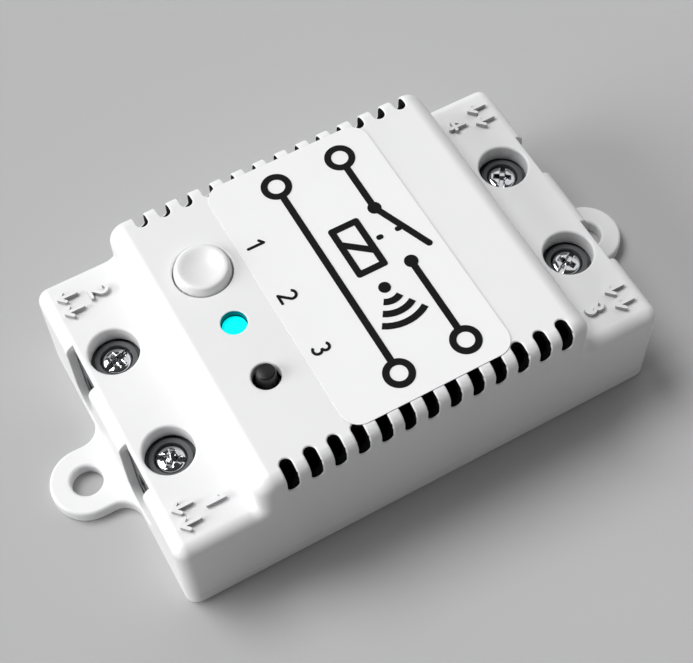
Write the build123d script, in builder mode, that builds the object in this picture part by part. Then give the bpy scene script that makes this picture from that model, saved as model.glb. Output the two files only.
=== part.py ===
from build123d import *
import os

# Smart relay module: a mains relay that is switched by radio, in a two-piece moulded case.
# X runs from the OUT end to the IN end, Y across the body and Z up. The origin is the centre of
# the footprint on the underside. Every value is in millimetres.

os.makedirs("parts", exist_ok=True)

# Case
body_length = 86.6
body_width = 54.6
body_height = 27.5
shoulder_height = 19.2
shoulder_length = 14.1
base_thickness = 2.6
wall = 1.5
roof_thickness = 1.8
corner_radius = 2.2
edge_fillet = 2.2
crown_radius = 3.4
cove_radius = 1.4
lip_thickness = 1.0

# Fixing ears, in one piece with the base
ear_reach = 5.5
ear_radius = 6.2
ear_hole_radius = 2.7
ear_blend_radius = 3.5

# Vents that wrap over the two long top edges
vent_count = 13
vent_pitch = 4.0
vent_width = 2.0
vent_row_offset = 0.6
vent_reach = 3.4
vent_drop = 4.4
vent_end_chamfer = 0.7

# Screw wells in the shoulders and wire notches in the end walls
terminal_side_inset = 17.2
terminal_inset = 6.8
well_radius = 4.15
well_wall = 0.9
well_depth = 3.2
notch_width = 8.6
notch_sill = 1.0

# Controls in the roof, in from the OUT end of the raised block and spread over its width
control_inset = 10.15
learn_y_share = 0.2106
lamp_y_share = 0.0092
pairing_y_share = -0.1896
learn_hole_radius = 4.9
lamp_hole_radius = 2.15
pairing_hole_radius = 2.3
pairing_rim_chamfer = 0.4

# Boards
board_standoff = 1.9
board_thickness = 1.6
board_gap = 0.6
lead_tail = 1.1
lead_size = 0.6
lead_hole_size = 1.1
control_board_length = 16.4
control_board_side_gap = 0.8
control_board_thickness = 1.2

# Clearances
seat_gap = 0.1
slide_gap = 0.2
part_gap = 0.3
selection_tolerance = 0.01

# Round parts inside the case have few sides, which keeps the model light
small_sides = 12
can_sides = 24

# Levels and places that follow from the sizes above
block_length = body_length - 2 * shoulder_length
inner_length = body_length - 2 * wall
inner_width = body_width - 2 * wall
inner_radius = corner_radius - wall
control_board_width = inner_width - 2 * control_board_side_gap
shoulder_underside = shoulder_height - roof_thickness
roof_underside = body_height - roof_thickness
board_bottom = base_thickness + board_standoff
board_top = board_bottom + board_thickness
lead_end = board_bottom - lead_tail
lead_length = board_top - lead_end
ear_hole_spacing = body_length + 2 * ear_reach
terminal_x = body_length / 2 - terminal_inset
terminal_y = body_width / 2 - terminal_side_inset
control_x = control_inset - block_length / 2
learn_y = learn_y_share * body_width
lamp_y = lamp_y_share * body_width
pairing_y = pairing_y_share * body_width
vent_xs = [vent_row_offset + (n - (vent_count - 1) / 2) * vent_pitch for n in range(vent_count)]

# Case screws: four self-tapping screws driven from below into bosses at the corners of the cover
boss_radius = 2.8
boss_inset = 5.0
boss_pilot_radius = 1.1
boss_pilot_depth = 9.5
case_screw_radius = 1.0
case_screw_hole_radius = 1.5
case_screw_length = 8.0
case_screw_head_radius = 2.5
case_screw_head_height = 1.2
case_screw_pocket_radius = 2.9
case_screw_pocket_depth = 1.4
case_screw_slot_width = 0.8
case_screw_slot_depth = 0.6
boss_x = body_length / 2 - boss_inset
boss_y = body_width / 2 - boss_inset

# Board screws: the main board sits on four posts of the base and is screwed to two of them
post_size = 4.6
post_x = 25.4
post_inset = 4.2
post_y = inner_width / 2 - post_inset
post_pilot_radius = 0.8
board_screw_radius = 0.75
board_screw_hole_radius = 1.1
board_screw_length = 3.8
board_screw_head_radius = 1.9
board_screw_head_height = 1.1
board_screw_places = [(-post_x, -post_y), (post_x, post_y)]

# Control board screws: the control board hangs from two bosses under the roof
hanger_size = 4.0
hanger_inset = 2.8
hanger_y = control_board_width / 2 - hanger_inset
hanger_pilot_radius = 0.8
hanger_screw_length = 4.4

# Learn button: a round cap on a 12 mm tactile switch
learn_cap_radius = 4.7
learn_cap_top_radius = 4.35
learn_cap_proud = 1.3
learn_cap_rim_chamfer = 0.4
learn_dish_radius = 3.55
learn_dish_floor_radius = 2.6
learn_dish_depth = 0.45
learn_flange_radius = 5.6
learn_flange_height = 0.8
learn_switch_size = 12.0
learn_pocket_radius = 3.5
learn_pocket_depth = 1.5
learn_plunger_sink = 0.9
learn_plunger_height = 1.1
learn_plunger_radius = 3.3
learn_post_size = 3.8
learn_post_height = 3.4

# Pairing button: the bare plunger of a 6 mm tactile switch
switch_body_height = 3.5
switch_frame_thickness = 0.3
pairing_switch_size = 6.0
pairing_switch_total = 9.5
pairing_proud = 1.4
pairing_plunger_radius = 1.7
pairing_top_radius = 1.48
pairing_taper_height = 2.2
pairing_pocket_radius = 1.9
pairing_pocket_depth = 1.5
pairing_plunger_sink = 0.9
pairing_tip_chamfer = 0.2

# Levels of the control board, which follow the roof
control_top = body_height + pairing_proud - pairing_switch_total
control_bottom = control_top - control_board_thickness
switch_top = control_top + switch_body_height
control_board_x = wall + part_gap + control_board_length / 2 - block_length / 2

# Status lamp: a clear light pipe with a square flange under the roof, over a small LED
lamp_recess = 1.4
lamp_flange_size = 5.6
lamp_flange_height = 0.8
lamp_gap = 0.6
led_length = 3.2
led_width = 1.6
led_height = 1.0

# Label on the flat top, beside the column of controls
label_length = 29.4
label_side_margin = 2.3
label_offset = 6.45
label_thickness = 0.15
label_radius = 3.2
label_width = body_width - 2 * label_side_margin
label_x = control_x + label_offset + label_length / 2

# Terminal block, one for each wire
terminal_depth = 11.0
terminal_width = 10.0
terminal_head_depth = 2.8
terminal_head_radius = 2.5
terminal_head_height = 1.8
terminal_head_chamfer = 0.25
terminal_slot_width = 0.8
terminal_slot_depth = 1.1
terminal_cross_length = 3.2
terminal_shank_radius = 1.45
terminal_collar_radius = 3.5
terminal_collar_height = 1.1
terminal_collar_proud = 0.1
terminal_pocket_gap = 0.15
terminal_roof = 1.0
wire_hole_width = 5.0
wire_hole_sill = 1.1
wire_hole_rise = 3.4
cage_length = 6.4
cage_width = 7.2
cage_height = 5.0
cage_floor = 0.9
cage_cap = 1.3
cage_side = 1.0
cage_lift = 0.4
cage_thread_gap = 0.05
wire_gap = 2.0
strip_thickness = 0.7
strip_width = 4.6
strip_pin_width = 1.0
strip_pin_spacing = 3.2
strip_hole_size = 1.3
strip_rear_gap = 0.8

terminal_front = body_length / 2 - wall - seat_gap
terminal_rear = terminal_front - terminal_depth
head_top = shoulder_height - terminal_head_depth
head_seat = head_top - terminal_head_height
collar_top = head_top + terminal_collar_proud
terminal_top = collar_top - terminal_collar_height
cavity_top = head_seat - terminal_roof
cage_bottom = board_top + cage_lift
strip_bottom = cage_bottom + cage_floor + wire_gap
strip_top = strip_bottom + strip_thickness
strip_rear = terminal_rear + strip_rear_gap
screw_tip = strip_top + seat_gap
terminal_places = [(-1, -1), (-1, 1), (1, -1), (1, 1)]

# Relay, a sealed cube with its coil upright, as tall as the roof allows
relay_x = 0.6
relay_y = 13.0
relay_length = 19.0
relay_width = 15.5
relay_headroom = 4.0
relay_wall = 0.8
relay_foot_gap = 0.2
relay_base_thickness = 1.8
relay_pin_size = 0.8
relay_pin_hole_size = 1.2
coil_offset = 2.0
yoke_thickness = 1.0
yoke_width = 8.0
yoke_foot_length = 9.0
bobbin_size = 9.0
bobbin_headroom = 8.4
bobbin_flange = 0.8
bobbin_tube_radius = 2.4
core_radius = 1.8
pole_radius = 3.0
pole_thickness = 0.6
winding_radius = 4.2
armature_gap = 0.6
armature_thickness = 1.0
armature_width = 7.6
armature_overhang = 0.4
armature_reach = 10.6
spring_thickness = 0.25
spring_width = 4.0
spring_reach = 15.4
contact_radius = 1.2
contact_height = 0.5
contact_travel = 0.95
strap_thickness = 0.4
strap_width = 2.6
strap_length = 3.1
strap_side = 3.4

relay_foot = board_top + relay_foot_gap
relay_height = roof_underside - relay_headroom - relay_foot
bobbin_height = relay_height - bobbin_headroom
relay_base_top = relay_foot + relay_base_thickness
yoke_bottom = relay_base_top + seat_gap
bobbin_bottom = yoke_bottom + yoke_thickness + seat_gap
bobbin_top = bobbin_bottom + bobbin_height
pole_top = bobbin_top + seat_gap + pole_thickness
armature_bottom = pole_top + armature_gap
yoke_top = armature_bottom - seat_gap
armature_top = armature_bottom + armature_thickness
spring_bottom = armature_top
spring_top = spring_bottom + spring_thickness
coil_x = relay_x - coil_offset
yoke_x = coil_x - bobbin_size / 2 - yoke_thickness / 2 - part_gap
hinge_x = yoke_x + yoke_thickness / 2
spring_end = hinge_x + spring_reach
contact_x = spring_end - contact_radius
relay_inner_length = relay_length - 2 * relay_wall
relay_inner_width = relay_width - 2 * relay_wall
strap_x = relay_x + relay_inner_length / 2 - part_gap - strap_thickness / 2
strap_across = strap_side + strap_width + contact_radius

# Transformer: two ferrite E halves round a bobbin
transformer_x = 1.0
transformer_y = -11.0
ferrite_length = 16.0
ferrite_width = 5.0
ferrite_height = 13.0
ferrite_outer_leg = 2.1
ferrite_centre_leg = 4.0
ferrite_bridge = 2.1
former_wall = 0.5
former_flange = 0.7
former_foot_height = 1.4
former_foot_length = 14.0
former_foot_width = 13.0
former_pin_pitch = 10.0
former_pin_rows = 11.0
turns_thickness = 2.2

# Round, boxed and disc components: places on the main board and sizes
input_can_x = 16.2
input_can_y = -15.0
input_can_radius = 5.0
input_can_headroom = 3.6
input_can_height = roof_underside - input_can_headroom - board_top
output_can_x = 15.6
output_can_y = 3.2
output_can_radius = 4.0
output_can_height = 11.5
can_lead_spacing_share = 0.5
can_edge_chamfer = 0.5
can_vent_depth = 0.25
can_vent_width = 0.4
film_x = 24.2
film_y = 0.0
film_length = 13.0
film_width = 5.4
film_height = 11.0
film_chamfer = 0.4
varistor_x = 25.6
varistor_y = 13.6
varistor_radius = 4.6
varistor_thickness = 3.6
varistor_lift = 1.0
varistor_chamfer = 1.0
fuse_x = 26.2
fuse_y = -13.4
fuse_length = 8.4
fuse_width = 4.2
fuse_height = 7.6
choke_x = -16.5
choke_y = -15.0
choke_radius = 3.8
choke_headroom = 3.7
choke_height = control_bottom - choke_headroom - board_top
choke_flange = 1.2
choke_waist_radius = 1.9
choke_winding_radius = 3.4
small_lead_spacing = 5.0
bridge_x = 17.6
bridge_y = 14.6
bridge_length = 8.4
bridge_width = 6.2
bridge_height = 2.6
bridge_leg_width = 1.2
bridge_leg_thickness = 0.3
bridge_leg_pitch = 5.1
bridge_leg_reach = 1.2
regulator_offset = 8.2
regulator_y = 2.0
regulator_length = 6.5
regulator_width = 3.5
regulator_height = 1.7
regulator_tab_reach = 1.6
regulator_tab_width = 3.0
regulator_tab_thickness = 0.3
header_offset = 1.8
header_pitch = 2.54
header_pins = 5
header_size = 2.5
header_pin_size = 0.64
header_tail = 0.8
radio_length = 13.0
radio_width = 16.0
radio_board_thickness = 0.8
radio_y = 1.0
shield_length = 11.0
shield_width = 12.0
shield_height = 2.0
shield_wall = 0.3
shield_offset = 1.4
header_x = control_board_x + control_board_length / 2 - header_offset
regulator_x = header_x - regulator_offset
header_ys = [(n - (header_pins - 1) / 2) * header_pitch for n in range(header_pins)]


def terminal_plane(side_x, side_y):
    """Plane on the underside at a terminal's screw axis, with local X out through the end."""
    return Plane(origin=(side_x * terminal_x, side_y * terminal_y, 0), x_dir=(side_x, 0, 0))


def end_plane(side_x, side_y, distance):
    """Upright plane across an end, with local X along the end and local Y up."""
    return Plane(
        origin=(side_x * distance, side_y * terminal_y, 0),
        x_dir=(0, side_x, 0),
        z_dir=(side_x, 0, 0),
    )


# Base plate: the flat floor with its two ears, the lip that centres the cover, the board posts
# and the pockets for the case screws
with BuildPart() as base_plate:
    with BuildSketch(Plane.XY) as floor_outline:
        RectangleRounded(body_length, body_width, corner_radius)
        SlotCenterToCenter(ear_hole_spacing, 2 * ear_radius)
        ear_roots = [
            v for v in floor_outline.vertices()
            if abs(abs(v.X) - body_length / 2) < selection_tolerance
            and abs(v.Y) < ear_radius + selection_tolerance
        ]
        fillet(ear_roots, radius=ear_blend_radius)
    extrude(amount=base_thickness)
    lip_length = inner_length - 2 * slide_gap
    lip_width = inner_width - 2 * slide_gap
    boss_room = 2 * (boss_radius + boss_inset)
    with BuildSketch(Plane.XY.offset(base_thickness)):
        Rectangle(lip_length, body_width - boss_room)
        Rectangle(body_length - boss_room, lip_width)
        Rectangle(lip_length - 2 * lip_thickness, lip_width - 2 * lip_thickness, mode=Mode.SUBTRACT)
    extrude(amount=notch_sill - seat_gap)
    with BuildSketch(Plane.XY.offset(base_thickness)):
        with GridLocations(2 * post_x, 2 * post_y, 2, 2):
            Rectangle(post_size, post_size)
    extrude(amount=board_standoff)
    with BuildSketch(Plane.XY.offset(board_bottom)):
        with Locations(*board_screw_places):
            RegularPolygon(post_pilot_radius, small_sides)
    extrude(amount=-(board_screw_length - board_thickness + part_gap), mode=Mode.SUBTRACT)
    with BuildSketch(Plane.XY):
        with Locations((-ear_hole_spacing / 2, 0), (ear_hole_spacing / 2, 0)):
            Circle(ear_hole_radius)
        with GridLocations(2 * boss_x, 2 * boss_y, 2, 2):
            RegularPolygon(case_screw_hole_radius, small_sides)
    extrude(amount=base_thickness, mode=Mode.SUBTRACT)
    with BuildSketch(Plane.XY):
        with GridLocations(2 * boss_x, 2 * boss_y, 2, 2):
            RegularPolygon(case_screw_pocket_radius, can_sides)
    extrude(amount=case_screw_pocket_depth, mode=Mode.SUBTRACT)
base_plate.part.label = "base_plate"
export_step(base_plate.part, "parts/base_plate.step")


# Top cover: a thin moulded shell with two low shoulders and a raised block between them, wells
# over the terminal screws, notches for the wires, and vents that wrap over the long edges
with BuildPart() as top_cover:
    # Side profile with the crown and cove radii, trimmed to the rounded footprint
    with BuildSketch(Plane.XZ) as side_profile:
        with Locations((0, base_thickness)):
            Rectangle(
                body_length, shoulder_height - base_thickness, align=(Align.CENTER, Align.MIN)
            )
            Rectangle(block_length, body_height - base_thickness, align=(Align.CENTER, Align.MIN))
        block_corners = side_profile.vertices().filter_by_position(
            Axis.X, -block_length / 2 - selection_tolerance, block_length / 2 + selection_tolerance
        )
        levels = block_corners.group_by(Axis.Y)
        fillet(levels[-1], radius=crown_radius)
        fillet(levels[-2], radius=cove_radius)
    extrude(amount=body_width / 2, both=True)
    with BuildSketch(Plane.XY.offset(base_thickness)):
        RectangleRounded(body_length, body_width, corner_radius)
    extrude(amount=body_height, mode=Mode.INTERSECT)
    # One soft edge runs round both shoulders and over the raised block
    soft_edges = [
        e for e in top_cover.edges()
        if e.center().Z > shoulder_height - selection_tolerance
        and (
            abs(abs(e.center().Y) - body_width / 2) < selection_tolerance
            or abs(e.center().X) > body_length / 2 - corner_radius
        )
    ]
    fillet(soft_edges, radius=edge_fillet)

    # The hollow: a low room under the shoulders and a tall one under the raised block
    with BuildSketch(Plane.XY.offset(base_thickness)):
        RectangleRounded(inner_length, inner_width, inner_radius)
    extrude(amount=shoulder_underside - base_thickness, mode=Mode.SUBTRACT)
    with BuildSketch(Plane.XY.offset(base_thickness)):
        RectangleRounded(block_length - 2 * wall, inner_width, inner_radius)
    extrude(amount=roof_underside - base_thickness, mode=Mode.SUBTRACT)

    # Corner bosses for the case screws
    with BuildSketch(Plane.XY.offset(base_thickness)):
        with GridLocations(2 * boss_x, 2 * boss_y, 2, 2):
            RegularPolygon(boss_radius, small_sides)
    extrude(amount=shoulder_underside - base_thickness)
    with BuildSketch(Plane.XY.offset(base_thickness)):
        with GridLocations(2 * boss_x, 2 * boss_y, 2, 2):
            RegularPolygon(boss_pilot_radius, small_sides)
    extrude(amount=boss_pilot_depth, mode=Mode.SUBTRACT)

    # Wells: a round hole over each terminal screw, carried down through a square pad
    with BuildSketch(Plane.XY.offset(shoulder_height - well_depth)):
        with GridLocations(2 * terminal_x, 2 * terminal_y, 2, 2):
            Rectangle(2 * (well_radius + well_wall), 2 * (well_radius + well_wall))
    extrude(amount=well_depth - roof_thickness)
    with BuildSketch(Plane.XY.offset(shoulder_height)):
        with GridLocations(2 * terminal_x, 2 * terminal_y, 2, 2):
            Circle(well_radius)
    extrude(amount=-well_depth, mode=Mode.SUBTRACT)

    # Wire notches: round-bottomed, open at the top, as deep as the end wall
    notch_centre = base_thickness + notch_sill + notch_width / 2
    for side_x, side_y in terminal_places:
        with BuildSketch(end_plane(side_x, side_y, body_length / 2)):
            with Locations((0, notch_centre)):
                Circle(notch_width / 2)
                Rectangle(notch_width, shoulder_height, align=(Align.CENTER, Align.MIN))
        extrude(amount=-wall, mode=Mode.SUBTRACT)

    # Hangers of the control board, and the holes of the two buttons and the lamp
    with BuildSketch(Plane.XY.offset(roof_underside)):
        with Locations((control_x, hanger_y), (control_x, -hanger_y)):
            Rectangle(hanger_size, hanger_size)
            RegularPolygon(hanger_pilot_radius, small_sides, mode=Mode.SUBTRACT)
    extrude(amount=control_top - roof_underside)
    with BuildSketch(Plane.XY.offset(body_height)):
        with Locations((control_x, learn_y)):
            Circle(learn_hole_radius)
        with Locations((control_x, lamp_y)):
            Circle(lamp_hole_radius)
        with Locations((control_x, pairing_y)):
            Circle(pairing_hole_radius)
    extrude(amount=control_top - body_height, mode=Mode.SUBTRACT)
    roof_circles = top_cover.edges().group_by(Axis.Z)[-1].filter_by(GeomType.CIRCLE)
    chamfer(
        [e for e in roof_circles if abs(e.radius - pairing_hole_radius) < selection_tolerance],
        length=pairing_rim_chamfer,
    )

    # Vents: each is one slot cut from above and one from the side, with chamfered ends
    roof_slot_y = (body_width - vent_reach + vent_width) / 2
    side_slot_z = body_height - (vent_drop - vent_width) / 2
    for side in (-1, 1):
        with BuildSketch(Plane.XY.offset(body_height)) as roof_slots:
            with Locations(*[(x, side * roof_slot_y) for x in vent_xs]):
                Rectangle(vent_width, vent_reach + vent_width)
            chamfer(roof_slots.vertices(), length=vent_end_chamfer)
        extrude(amount=-roof_thickness, mode=Mode.SUBTRACT)
        with BuildSketch(Plane.XZ.offset(side * body_width / 2)) as side_slots:
            with Locations(*[(x, side_slot_z) for x in vent_xs]):
                Rectangle(vent_width, vent_drop + vent_width)
            chamfer(side_slots.vertices(), length=vent_end_chamfer)
        extrude(amount=-side * wall, mode=Mode.SUBTRACT)
top_cover.part.label = "top_cover"
export_step(top_cover.part, "parts/top_cover.step")


# Label: a thin sticker on the flat top, which reaches a little over the tips of the vents
with BuildPart() as label:
    with BuildSketch(Plane.XY.offset(body_height)):
        with Locations((label_x, 0)):
            RectangleRounded(label_length, label_width, label_radius)
    extrude(amount=label_thickness)
label.part.label = "label"
export_step(label.part, "parts/label.step")


# Case screws: one node of four, heads in the pockets of the base
with BuildPart() as case_screws:
    screw_seat = case_screw_pocket_depth
    with BuildSketch(Plane.XY.offset(screw_seat)):
        with GridLocations(2 * boss_x, 2 * boss_y, 2, 2):
            RegularPolygon(case_screw_head_radius, can_sides)
    extrude(amount=-case_screw_head_height)
    with BuildSketch(Plane.XY.offset(screw_seat)):
        with GridLocations(2 * boss_x, 2 * boss_y, 2, 2):
            RegularPolygon(case_screw_radius, small_sides)
    extrude(amount=case_screw_length)
    with BuildSketch(Plane.XY.offset(screw_seat - case_screw_head_height)):
        with GridLocations(2 * boss_x, 2 * boss_y, 2, 2):
            Rectangle(case_screw_head_radius, case_screw_slot_width)
            Rectangle(case_screw_slot_width, case_screw_head_radius)
    extrude(amount=case_screw_slot_depth, mode=Mode.SUBTRACT)
case_screws.part.label = "case_screws"
export_step(case_screws.part, "parts/case_screws.step")


# Board screws: two small screws through the main board into opposite posts
with BuildPart() as board_screws:
    with BuildSketch(Plane.XY.offset(board_top)):
        with Locations(*board_screw_places):
            RegularPolygon(board_screw_head_radius, small_sides)
    extrude(amount=board_screw_head_height)
    chamfer(board_screws.edges().group_by(Axis.Z)[-1], length=board_screw_head_height / 2)
    with BuildSketch(Plane.XY.offset(board_top)):
        with Locations(*board_screw_places):
            RegularPolygon(board_screw_radius, small_sides)
    extrude(amount=-board_screw_length)
board_screws.part.label = "board_screws"
export_step(board_screws.part, "parts/board_screws.step")


# Control board screws: two, driven up through the control board into the hangers of the roof
with BuildPart() as hanger_screws:
    with BuildSketch(Plane.XY.offset(control_bottom)):
        with Locations((control_x, hanger_y), (control_x, -hanger_y)):
            RegularPolygon(board_screw_head_radius, small_sides)
    extrude(amount=-board_screw_head_height)
    with BuildSketch(Plane.XY.offset(control_bottom)):
        with Locations((control_x, hanger_y), (control_x, -hanger_y)):
            RegularPolygon(board_screw_radius, small_sides)
    extrude(amount=hanger_screw_length)
hanger_screws.part.label = "control_board_screws"
export_step(hanger_screws.part, "parts/control_board_screws.step")


# Places of the leads that pass through the main board
strip_pin_x = strip_rear + strip_thickness / 2
relay_pins = [
    (strap_x, relay_y + strap_side + strap_width / 2),
    (strap_x, relay_y - strap_side - strap_width / 2),
    (yoke_x, relay_y),
    (coil_x, relay_y + bobbin_size / 2 + relay_pin_size),
    (coil_x, relay_y - bobbin_size / 2 - relay_pin_size),
]
former_pins = [
    (transformer_x + a * former_pin_pitch / 2, transformer_y + b * former_pin_rows / 2)
    for a in (-1, 1) for b in (-1, 1)
]


def lead_pair(x, y, spacing):
    """Two leads, side by side along Y about a component's centre."""
    return [(x, y - spacing / 2), (x, y + spacing / 2)]


input_leads = lead_pair(input_can_x, input_can_y, 2 * input_can_radius * can_lead_spacing_share)
output_leads = lead_pair(
    output_can_x, output_can_y, 2 * output_can_radius * can_lead_spacing_share
)
film_leads = lead_pair(film_x, film_y, 2 * small_lead_spacing)
varistor_leads = lead_pair(varistor_x, varistor_y, small_lead_spacing)
fuse_leads = lead_pair(fuse_x, fuse_y, small_lead_spacing)
choke_leads = lead_pair(choke_x, choke_y, small_lead_spacing)
header_places = [(header_x, y) for y in header_ys]


# Main board, notched at its corners to clear the cover's bosses
with BuildPart() as main_board:
    with BuildSketch(Plane.XY.offset(board_bottom)):
        Rectangle(inner_length - 2 * board_gap, inner_width - 2 * board_gap)
        notch_reach = boss_radius + part_gap + boss_inset
        with GridLocations(body_length, body_width, 2, 2):
            Rectangle(2 * notch_reach, 2 * notch_reach, mode=Mode.SUBTRACT)
        with Locations(*board_screw_places):
            RegularPolygon(board_screw_hole_radius, small_sides, mode=Mode.SUBTRACT)
        for side_x, side_y in terminal_places:
            with Locations(*lead_pair(side_x * strip_pin_x, side_y * terminal_y, strip_pin_spacing)):
                Rectangle(strip_hole_size, strip_hole_size, mode=Mode.SUBTRACT)
        with Locations(*relay_pins):
            Rectangle(relay_pin_hole_size, relay_pin_hole_size, mode=Mode.SUBTRACT)
        with Locations(*former_pins, *input_leads, *output_leads, *film_leads, *varistor_leads):
            Rectangle(lead_hole_size, lead_hole_size, mode=Mode.SUBTRACT)
        with Locations(*fuse_leads, *choke_leads, *header_places):
            Rectangle(lead_hole_size, lead_hole_size, mode=Mode.SUBTRACT)
    extrude(amount=board_thickness)
main_board.part.label = "main_board"
export_step(main_board.part, "parts/main_board.step")


# Control board: carries the switches and the lamp close under the roof
with BuildPart() as control_board:
    with BuildSketch(Plane.XY.offset(control_bottom)):
        with Locations((control_board_x, 0)):
            Rectangle(control_board_length, control_board_width)
        with Locations((control_x, hanger_y), (control_x, -hanger_y)):
            RegularPolygon(board_screw_hole_radius, small_sides, mode=Mode.SUBTRACT)
        with Locations(*header_places):
            Rectangle(lead_hole_size, lead_hole_size, mode=Mode.SUBTRACT)
    extrude(amount=control_board_thickness)
control_board.part.label = "control_board"
export_step(control_board.part, "parts/control_board.step")


# Terminals: each wire has a moulded block, a bent contact strip, a captive screw and a cage
# that the screw pulls up to clamp the wire against the strip
for number, (side_x, side_y) in enumerate(terminal_places, start=1):
    here = terminal_plane(side_x, side_y)
    block_front = terminal_front - terminal_x
    block_rear = terminal_rear - terminal_x
    block_middle = (block_front + block_rear) / 2
    rear_slot = strip_rear - terminal_x
    strip_reach = cage_length / 2 - rear_slot

    with BuildPart() as terminal_block:
        with BuildSketch(here.offset(board_top)):
            with Locations((block_middle, 0)):
                Rectangle(terminal_depth, terminal_width)
        extrude(amount=terminal_top - board_top)
        with BuildSketch(here.offset(terminal_top)):
            Circle(terminal_collar_radius)
        extrude(amount=collar_top - terminal_top)
        with BuildSketch(here.offset(collar_top)):
            Circle(terminal_head_radius + terminal_pocket_gap)
        extrude(amount=head_seat - collar_top, mode=Mode.SUBTRACT)
        with BuildSketch(here.offset(head_seat)):
            RegularPolygon(terminal_shank_radius + slide_gap, small_sides)
        extrude(amount=-terminal_roof, mode=Mode.SUBTRACT)
        with BuildSketch(here.offset(board_top)):
            Rectangle(cage_length + 2 * seat_gap, cage_width + 2 * seat_gap)
        extrude(amount=cavity_top - board_top, mode=Mode.SUBTRACT)
        # Slot in the rear wall for the contact strip
        with BuildSketch(here.offset(board_top)):
            with Locations((rear_slot - seat_gap, 0)):
                Rectangle(strip_reach, strip_width + 2 * seat_gap, align=(Align.MIN, Align.CENTER))
        extrude(amount=strip_top + seat_gap - board_top, mode=Mode.SUBTRACT)
        # Arched hole for the wire
        with BuildSketch(end_plane(side_x, side_y, terminal_front)):
            with Locations((0, board_top + wire_hole_sill)):
                Rectangle(wire_hole_width, wire_hole_rise, align=(Align.CENTER, Align.MIN))
            with Locations((0, board_top + wire_hole_sill + wire_hole_rise)):
                Circle(wire_hole_width / 2)
        extrude(amount=-(block_front - cage_length / 2 - seat_gap), mode=Mode.SUBTRACT)
    terminal_block.part.label = f"terminal_block_{number}"
    export_step(terminal_block.part, f"parts/terminal_block_{number}.step")

    with BuildPart() as contact_strip:
        with BuildSketch(here.offset(strip_bottom)):
            with Locations((rear_slot, 0)):
                Rectangle(strip_reach, strip_width, align=(Align.MIN, Align.CENTER))
        extrude(amount=strip_thickness)
        with BuildSketch(here.offset(board_top)):
            with Locations((rear_slot + strip_thickness / 2, 0)):
                Rectangle(strip_thickness, strip_width)
        extrude(amount=strip_bottom - board_top)
        with BuildSketch(here.offset(lead_end)):
            with Locations(*lead_pair(rear_slot + strip_thickness / 2, 0, strip_pin_spacing)):
                Rectangle(strip_thickness, strip_pin_width)
        extrude(amount=lead_length)
        bend = contact_strip.edges().filter_by(Axis.Y).group_by(Axis.Z)[-1].sort_by(Axis.X)
        fillet(bend[-1 if side_x < 0 else 0], radius=strip_thickness - seat_gap)
    contact_strip.part.label = f"contact_strip_{number}"
    export_step(contact_strip.part, f"parts/contact_strip_{number}.step")

    with BuildPart() as clamp_cage:
        with BuildSketch(here.offset(cage_bottom)):
            Rectangle(cage_length, cage_width)
        extrude(amount=cage_height)
        cage_window = cage_height - cage_floor - cage_cap
        with BuildSketch(end_plane(side_x, side_y, terminal_x + cage_length / 2)):
            with Locations((0, cage_bottom + cage_floor)):
                Rectangle(cage_width - 2 * cage_side, cage_window, align=(Align.CENTER, Align.MIN))
        extrude(amount=-cage_length, mode=Mode.SUBTRACT)
        with BuildSketch(here.offset(cage_bottom + cage_height)):
            Circle(terminal_shank_radius + cage_thread_gap)
        extrude(amount=-cage_cap, mode=Mode.SUBTRACT)
    clamp_cage.part.label = f"clamp_cage_{number}"
    export_step(clamp_cage.part, f"parts/clamp_cage_{number}.step")

    with BuildPart() as terminal_screw:
        with BuildSketch(here.offset(head_seat)):
            Circle(terminal_head_radius)
        extrude(amount=terminal_head_height)
        chamfer(terminal_screw.edges().group_by(Axis.Z)[-1], length=terminal_head_chamfer)
        with BuildSketch(here.offset(head_seat)):
            RegularPolygon(terminal_shank_radius, small_sides)
        extrude(amount=screw_tip - head_seat)
        with BuildSketch(here.offset(head_top)):
            Rectangle(2 * terminal_head_radius, terminal_slot_width)
            Rectangle(terminal_slot_width, terminal_cross_length)
        extrude(amount=-terminal_slot_depth, mode=Mode.SUBTRACT)
    terminal_screw.part.label = f"terminal_screw_{number}"
    export_step(terminal_screw.part, f"parts/terminal_screw_{number}.step")


# Learn switch: a square housing with a pocket for its plunger, under a thin metal frame
with BuildPart() as learn_switch:
    with BuildSketch(Plane.XY.offset(control_top)):
        with Locations((control_x, learn_y)):
            Rectangle(learn_switch_size, learn_switch_size)
    extrude(amount=switch_body_height - switch_frame_thickness)
    with BuildSketch(Plane.XY.offset(switch_top)):
        with Locations((control_x, learn_y)):
            RegularPolygon(learn_pocket_radius, small_sides)
    extrude(amount=-learn_pocket_depth, mode=Mode.SUBTRACT)
learn_switch.part.label = "learn_switch"
export_step(learn_switch.part, "parts/learn_switch.step")

with BuildPart() as learn_frame:
    with BuildSketch(Plane.XY.offset(switch_top - switch_frame_thickness)):
        with Locations((control_x, learn_y)):
            Rectangle(learn_switch_size, learn_switch_size)
            RegularPolygon(learn_pocket_radius, small_sides, mode=Mode.SUBTRACT)
    extrude(amount=switch_frame_thickness)
learn_frame.part.label = "learn_switch_frame"
export_step(learn_frame.part, "parts/learn_switch_frame.step")

plunger_foot = switch_top - learn_plunger_sink
with BuildPart() as learn_plunger:
    with BuildSketch(Plane.XY.offset(plunger_foot)):
        with Locations((control_x, learn_y)):
            RegularPolygon(learn_plunger_radius, small_sides)
    extrude(amount=learn_plunger_height)
    with BuildSketch(Plane.XY.offset(plunger_foot + learn_plunger_height)):
        with Locations((control_x, learn_y)):
            Rectangle(learn_post_size, learn_post_size)
    extrude(amount=learn_post_height)
learn_plunger.part.label = "learn_plunger"
export_step(learn_plunger.part, "parts/learn_plunger.step")

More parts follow.
